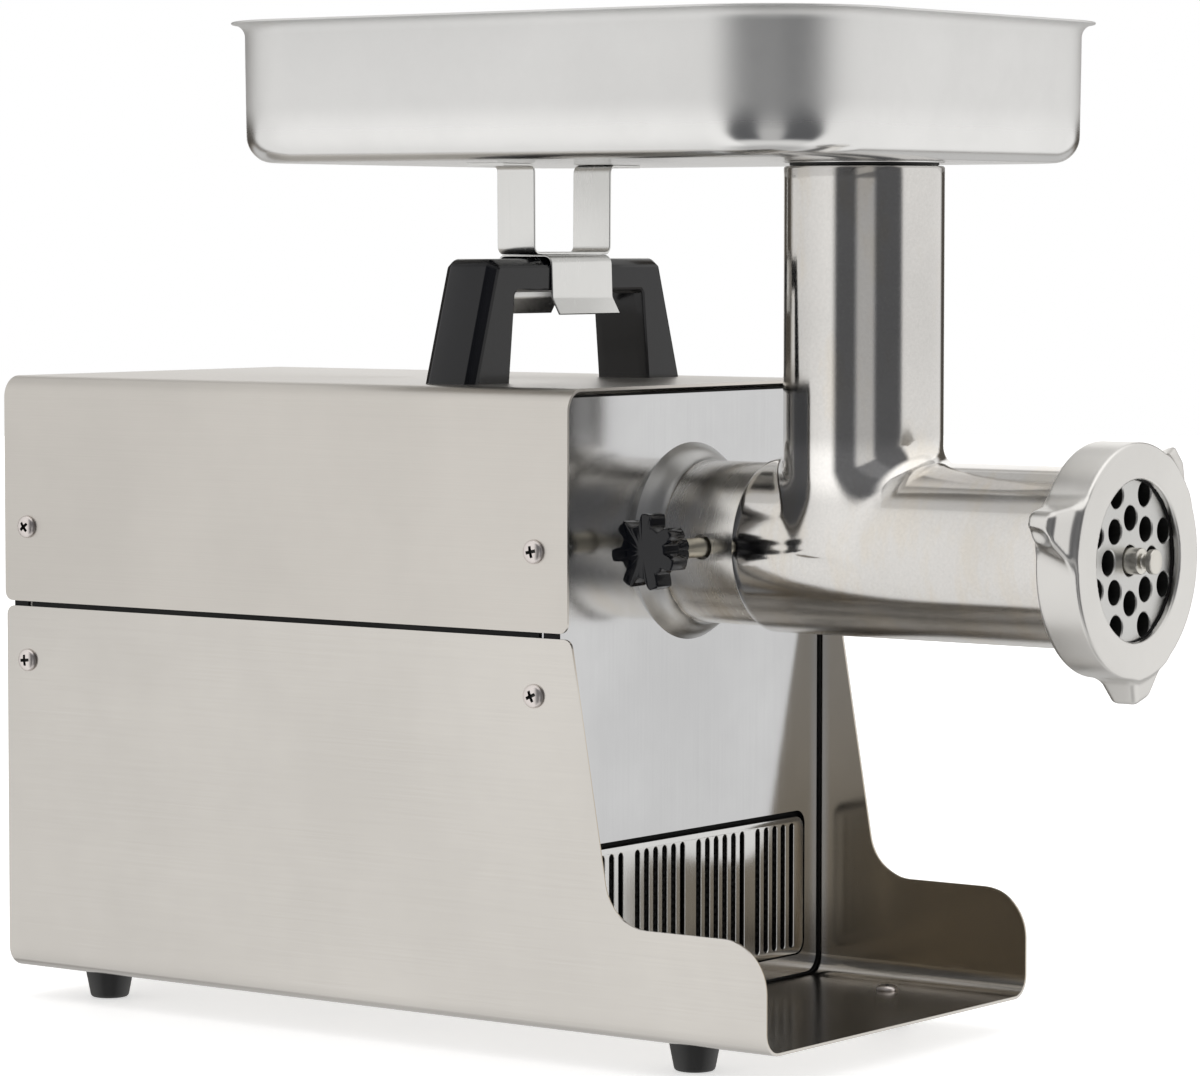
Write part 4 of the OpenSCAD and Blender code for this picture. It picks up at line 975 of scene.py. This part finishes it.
# ------------------------------------------------------------------ front grille
def grille():
    from mathutils.geometry import tessellate_polygon
    w, pitch = 3.15, 6.25
    xs = []
    for sgn in (-1, 1):
        xs += [sgn * (5.7 + i * pitch) for i in range(6)] + [sgn * (17.1 + 5 * pitch + i * pitch) for i in range(5)]
    yf, yb = 8.15, 9.2
    verts, faces = [], []

    def outline(x0, x1, z0, z1, r, n, y, grow=0.0):
        b = len(verts)
        for cx, cz, a in ((x1 - r, z1 - r, 0), (x0 + r, z1 - r, 90), (x0 + r, z0 + r, 180), (x1 - r, z0 + r, 270)):
            for i in range(n + 1):
                t = math.radians(a + 90 * i / n)
                verts.append((cx + (r + grow) * math.cos(t), y, cz + (r + grow) * math.sin(t)))
        return list(range(b, len(verts)))

    def strip(a, b):
        for i in range(len(a)):
            j = (i + 1) % len(a)
            faces.append([a[i], a[j], b[j], b[i]])

    fl, bl = [], []
    box = (-82.4, 82.4, 24.0, 82.3, 5.5, 8)
    o = [outline(*box, yf, -0.45), outline(*box, yf + 0.15, -0.12), outline(*box, yf + 0.45, 0.0), outline(*box, yb, 0.0)]
    for a, b in zip(o, o[1:]):
        strip(a, b)
    fl.append(o[0])
    bl.append(o[-1])
    for x in xs:
        hole = (x - w / 2, x + w / 2, 26.9, 79.6, w / 2 - 0.001, 5)
        o = [outline(*hole, yf, 0.32), outline(*hole, yf + 0.12, 0.09), outline(*hole, yf + 0.34, 0.0), outline(*hole, yb, 0.0)]
        for a, b in zip(o, o[1:]):
            strip(a, b)
        fl.append(o[0])
        bl.append(o[-1])
    for loops in (fl, bl):
        flat = [i for l in loops for i in l]
        tris = tessellate_polygon([[Vector((verts[i][0], verts[i][2], 0)) for i in l] for l in loops])
        faces.extend([flat[a], flat[b], flat[c]] for a, b, c in tris)
    # the slots' walls take the near-black second material: painted shade inside the slots
    piece("grille_pressed", verts, faces, "machine", ["m_grille", "m_painted_recess_shade"], ["vent_grille"], 25, alt=lambda x, y, z: y > yf + 0.36, merge=None)


grille()


def strip_box(x0, x1, y0, y1, z0, z1, r=0.12):
    """A thin strip with its four long edges eased, running along Y."""
    prof = [(x0 + r, z0), (x1 - r, z0), (x1, z0 + r), (x1, z1 - r), (x1 - r, z1), (x0 + r, z1), (x0, z1 - r), (x0, z0 + r)]
    verts, faces = [], []
    for y in (y0, y1):
        verts += [(x, y, z) for x, z in prof]
    n = len(prof)
    faces += [[i, (i + 1) % n, n + (i + 1) % n, n + i] for i in range(n)]
    faces += [list(range(n)), [n + i for i in reversed(range(n))]]
    return verts, faces


# ------------------------------------------------------------------ feet
def feet():
    for name, x, y in (("front_left", -69, -43), ("front_right", 69, -43), ("rear_left", -69, 266), ("rear_right", 69, 266)):
        prof = [(0, 0.0), (6.9, 0.0), (7.5, 0.15), (8.0, 0.6), (8.3, 1.4), (10.2, 11.2), (10.35, 11.9), (10.4, 12.4), (10.2, 12.9), (9.9, 13.0), (2.45, 13.0), (2.45, 3.4), (0, 3.4)]
        v, f = lathe(prof, (x, y, 0), (0, 0, 1), 64)
        piece("rubber_" + name, v, f, "machine", "m_rubber", ["foot_" + name], 34)


feet()


# ------------------------------------------------------------------ carry handle
def handle():
    yf, yb = 64.6, 91.0
    top, foot = 317.6, 267.2
    out = [(-72.9, foot), (72.9, foot)] + arc(54.0, 313.0, 4.6, 16, 90, 6) + arc(-54.0, 313.0, 4.6, 90, 164, 6)
    # where the outer arcs meet the leaning sides
    win = [(-47.3, foot), (-43.6, 302.9), (-42.6, 304.0), (42.6, 304.0), (43.6, 302.9), (47.3, foot)]
    bm = bmesh.new()

    def ring(y, inset, winset):
        outs = []
        cx, cz = 0.0, 285.0
        pts = out
        n = len(pts)
        res = []
        for i, (x, z) in enumerate(pts):
            (xa, za), (xb, zb) = pts[i - 1], pts[(i + 1) % n]
            d1 = Vector((x - xa, z - za)).normalized()
            d2 = Vector((xb - x, zb - z)).normalized()
            n1, n2 = Vector((-d1.y, d1.x)), Vector((-d2.y, d2.x))
            m = (n1 + n2)
            m = m / max(0.35, m.length_squared / 2)
            px, pz = x + m.x * inset, z + m.y * inset
            if abs(z - foot) < 1e-6:
                pz = foot
                px = x - math.copysign(inset * 1.03, x)
            res.append(bm.verts.new((px, y, pz)))
        wres = []
        for x, z in win:
            if abs(z - foot) < 1e-6:
                px, pz = x + math.copysign(winset, x), foot
            elif z > 303.5:
                px, pz = x + math.copysign(winset * 0.3, x), z + winset
            else:
                px, pz = x + math.copysign(winset, x), z + winset * 0.4
            wres.append(bm.verts.new((px, y, pz)))
        return res, wres

    # front and back faces set in by chamfers
    layers = [(yf, 3.7, 1.5), (yf + 0.5, 2.6, 0.6), (yf + 3.6, 0.35, 0.0), (yf + 4.6, 0.0, 0.0), (yb - 4.6, 0.0, 0.0), (yb - 3.6, 0.35, 0.0), (yb - 0.5, 2.6, 0.6), (yb, 3.7, 1.5)]
    rings = [ring(*l) for l in layers]
    for (o1, w1), (o2, w2) in zip(rings, rings[1:]):
        n = len(o1)
        for i in range(n):
            if i == 0:
                continue
            j = (i + 1) % n
            bm.faces.new([o1[i], o1[j], o2[j], o2[i]])
        for i in range(len(w1) - 1):
            bm.faces.new([w1[i], w1[i + 1], w2[i + 1], w2[i]])
        # the soles of the two legs
        bm.faces.new([o1[0], o2[0], w2[0], w1[0]])
        bm.faces.new([w1[-1], w2[-1], o2[1], o1[1]])
    for o, w in (rings[0], rings[-1]):
        bm.faces.new([o[0]] + w + o[1:])
    bmesh.ops.recalc_face_normals(bm, faces=bm.faces)
    bmesh.ops.triangulate(bm, faces=[f for f in bm.faces if len(f.verts) > 4])
    for v in bm.verts:
        v.co = mm(*v.co)
    piece_from_bm("handle_moulded", bm, "machine", "m_black_gloss", ["carry_handle"], 22)


handle()


# ------------------------------------------------------------------ bracket and clip
def fold(points, radius, n=6):
    """A centre line with its inner corners rounded."""
    out = [points[0]]
    for a, b, c in zip(points, points[1:], points[2:]):
        a, b, c = Vector(a), Vector(b), Vector(c)
        u, w = (a - b).normalized(), (c - b).normalized()
        half = math.acos(max(-1, min(1, u.dot(w)))) / 2
        r = radius
        d = min(r / math.tan(half), (a - b).length * 0.49, (c - b).length * 0.49)
        r = d * math.tan(half)
        mid = (u + w).normalized()
        centre = b + mid * (r / math.sin(half))
        p0, p1 = b + u * d, b + w * d
        v0, v1 = p0 - centre, p1 - centre
        a0, a1 = math.atan2(v0.y, v0.x), math.atan2(v1.y, v1.x)
        da = (a1 - a0 + math.pi) % (2 * math.pi) - math.pi
        out += [tuple(centre + Vector((math.cos(a0 + da * i / n), math.sin(a0 + da * i / n))) * r) for i in range(n + 1)]
    out.append(points[-1])
    return out


def strip_mesh(line, t, lo, hi, along, edge=0.25):
    """A bent strip of thickness t about a 2D centre line, from lo to hi along an axis, its long edges eased."""
    pts = [Vector(p) for p in line]
    n = len(pts)
    nor = []
    for i in range(n):
        d = (pts[min(i + 1, n - 1)] - pts[max(i - 1, 0)]).normalized()
        nor.append(Vector((-d.y, d.x)))
    prof = [(lo + edge, t / 2), (hi - edge, t / 2), (hi, t / 2 - edge), (hi, -t / 2 + edge), (hi - edge, -t / 2), (lo + edge, -t / 2), (lo, -t / 2 + edge), (lo, t / 2 - edge)]
    verts, faces = [], []
    for p, m in zip(pts, nor):
        for w, off in prof:
            q = p + m * off
            verts.append((q.x, w, q.y) if along == "y" else (w, q.x, q.y))
    k = len(prof)
    for i in range(n - 1):
        for j in range(k):
            l = (j + 1) % k
            faces.append([i * k + j, i * k + l, (i + 1) * k + l, (i + 1) * k + j])
    faces.append(list(range(k)))
    faces.append([(n - 1) * k + j for j in reversed(range(k))])
    return verts, faces


line = fold([(-47.0, 356.0), (-26.2, 356.0), (-25.9, 319.85), (25.9, 319.85), (26.2, 356.0), (47.0, 356.0)], 3.0)
v, f = strip_mesh(line, 1.1, 68.4, 87.6, "y")
piece("bracket_bent", v, f, "tray", "m_bracket", ["tray_bracket"], 30)
g = 13.95
line = fold([(77.8 - g - 3.9, 294.9), (77.8 - g - 0.1, 301.6), (77.8 - g + 0.45, 318.75), (77.8 + g - 0.45, 318.75), (77.8 + g + 0.1, 301.6), (77.8 + g + 3.9, 294.9)], 3.4)
v, f = strip_mesh(line, 0.9, -20.7, 20.7, "x")
piece("clip_bent", v, f, "tray", "m_bracket", ["tray_clip"], 30)


# a near-black pleated sheet behind the grille: painted shade, so the slots read dark
line = [(11.3 + (0.5 if i % 2 else -0.4), 20.6 + 1.65 * i) for i in range(41)]
v, f = strip_mesh(line, 0.5, -84.5, 84.5, "x", 0.1)
piece("pleated_shade_sheet", v, f, "machine", "m_filter", (), 20)
# near-black strips in the slit between the cover and the chassis: painted shade in the slit
v, f = join(strip_box(-94.7, -93.75, 4.5, 12.0, 168.4, 171.8), strip_box(-94.7, -93.75, 14.4, 286.0, 168.4, 171.8), strip_box(-94.7, -93.75, 288.2, 296.0, 168.4, 171.8),
            strip_box(93.75, 94.7, 4.5, 12.0, 168.4, 171.8), strip_box(93.75, 94.7, 14.4, 286.0, 168.4, 171.8), strip_box(93.75, 94.7, 288.2, 296.0, 168.4, 171.8))
piece("seam_shade_strips", v, f, "machine", "m_filter", (), 30)


def edge_shadow_strip():
    """Painted shadow: a thin near-black edging round the front plate, standing in for the shade line at its edge."""
    def loop(x1, z0, z1, r, y, n=10):
        out = []
        for cx, cz, a in ((x1 - r, z1 - r, 0), (-x1 + r, z1 - r, 90), (-x1 + r, z0 + r, 180), (x1 - r, z0 + r, 270)):
            for i in range(n + 1):
                t = math.radians(a + 90 * i / n)
                out.append((cx + r * math.cos(t), y, cz + r * math.sin(t)))
        return out

    rows = [loop(93.85, 14.45, 264.3, 8.2, 7.95), loop(93.85, 14.45, 264.3, 8.2, 7.25), loop(93.65, 14.65, 264.1, 8.0, 7.05),
            loop(93.2, 15.1, 263.5, 7.6, 7.05), loop(93.05, 15.25, 263.35, 7.4, 7.25), loop(93.05, 15.25, 263.35, 7.4, 7.95)]
    n = len(rows[0])
    verts = [p for row in rows for p in row]
    faces = [[k * n + i, k * n + (i + 1) % n, ((k + 1) % 6) * n + (i + 1) % n, ((k + 1) % 6) * n + i] for k in range(6) for i in range(n)]
    piece("front_painted_shadow_edging", verts, faces, "machine", "m_filter", (), 30)


edge_shadow_strip()
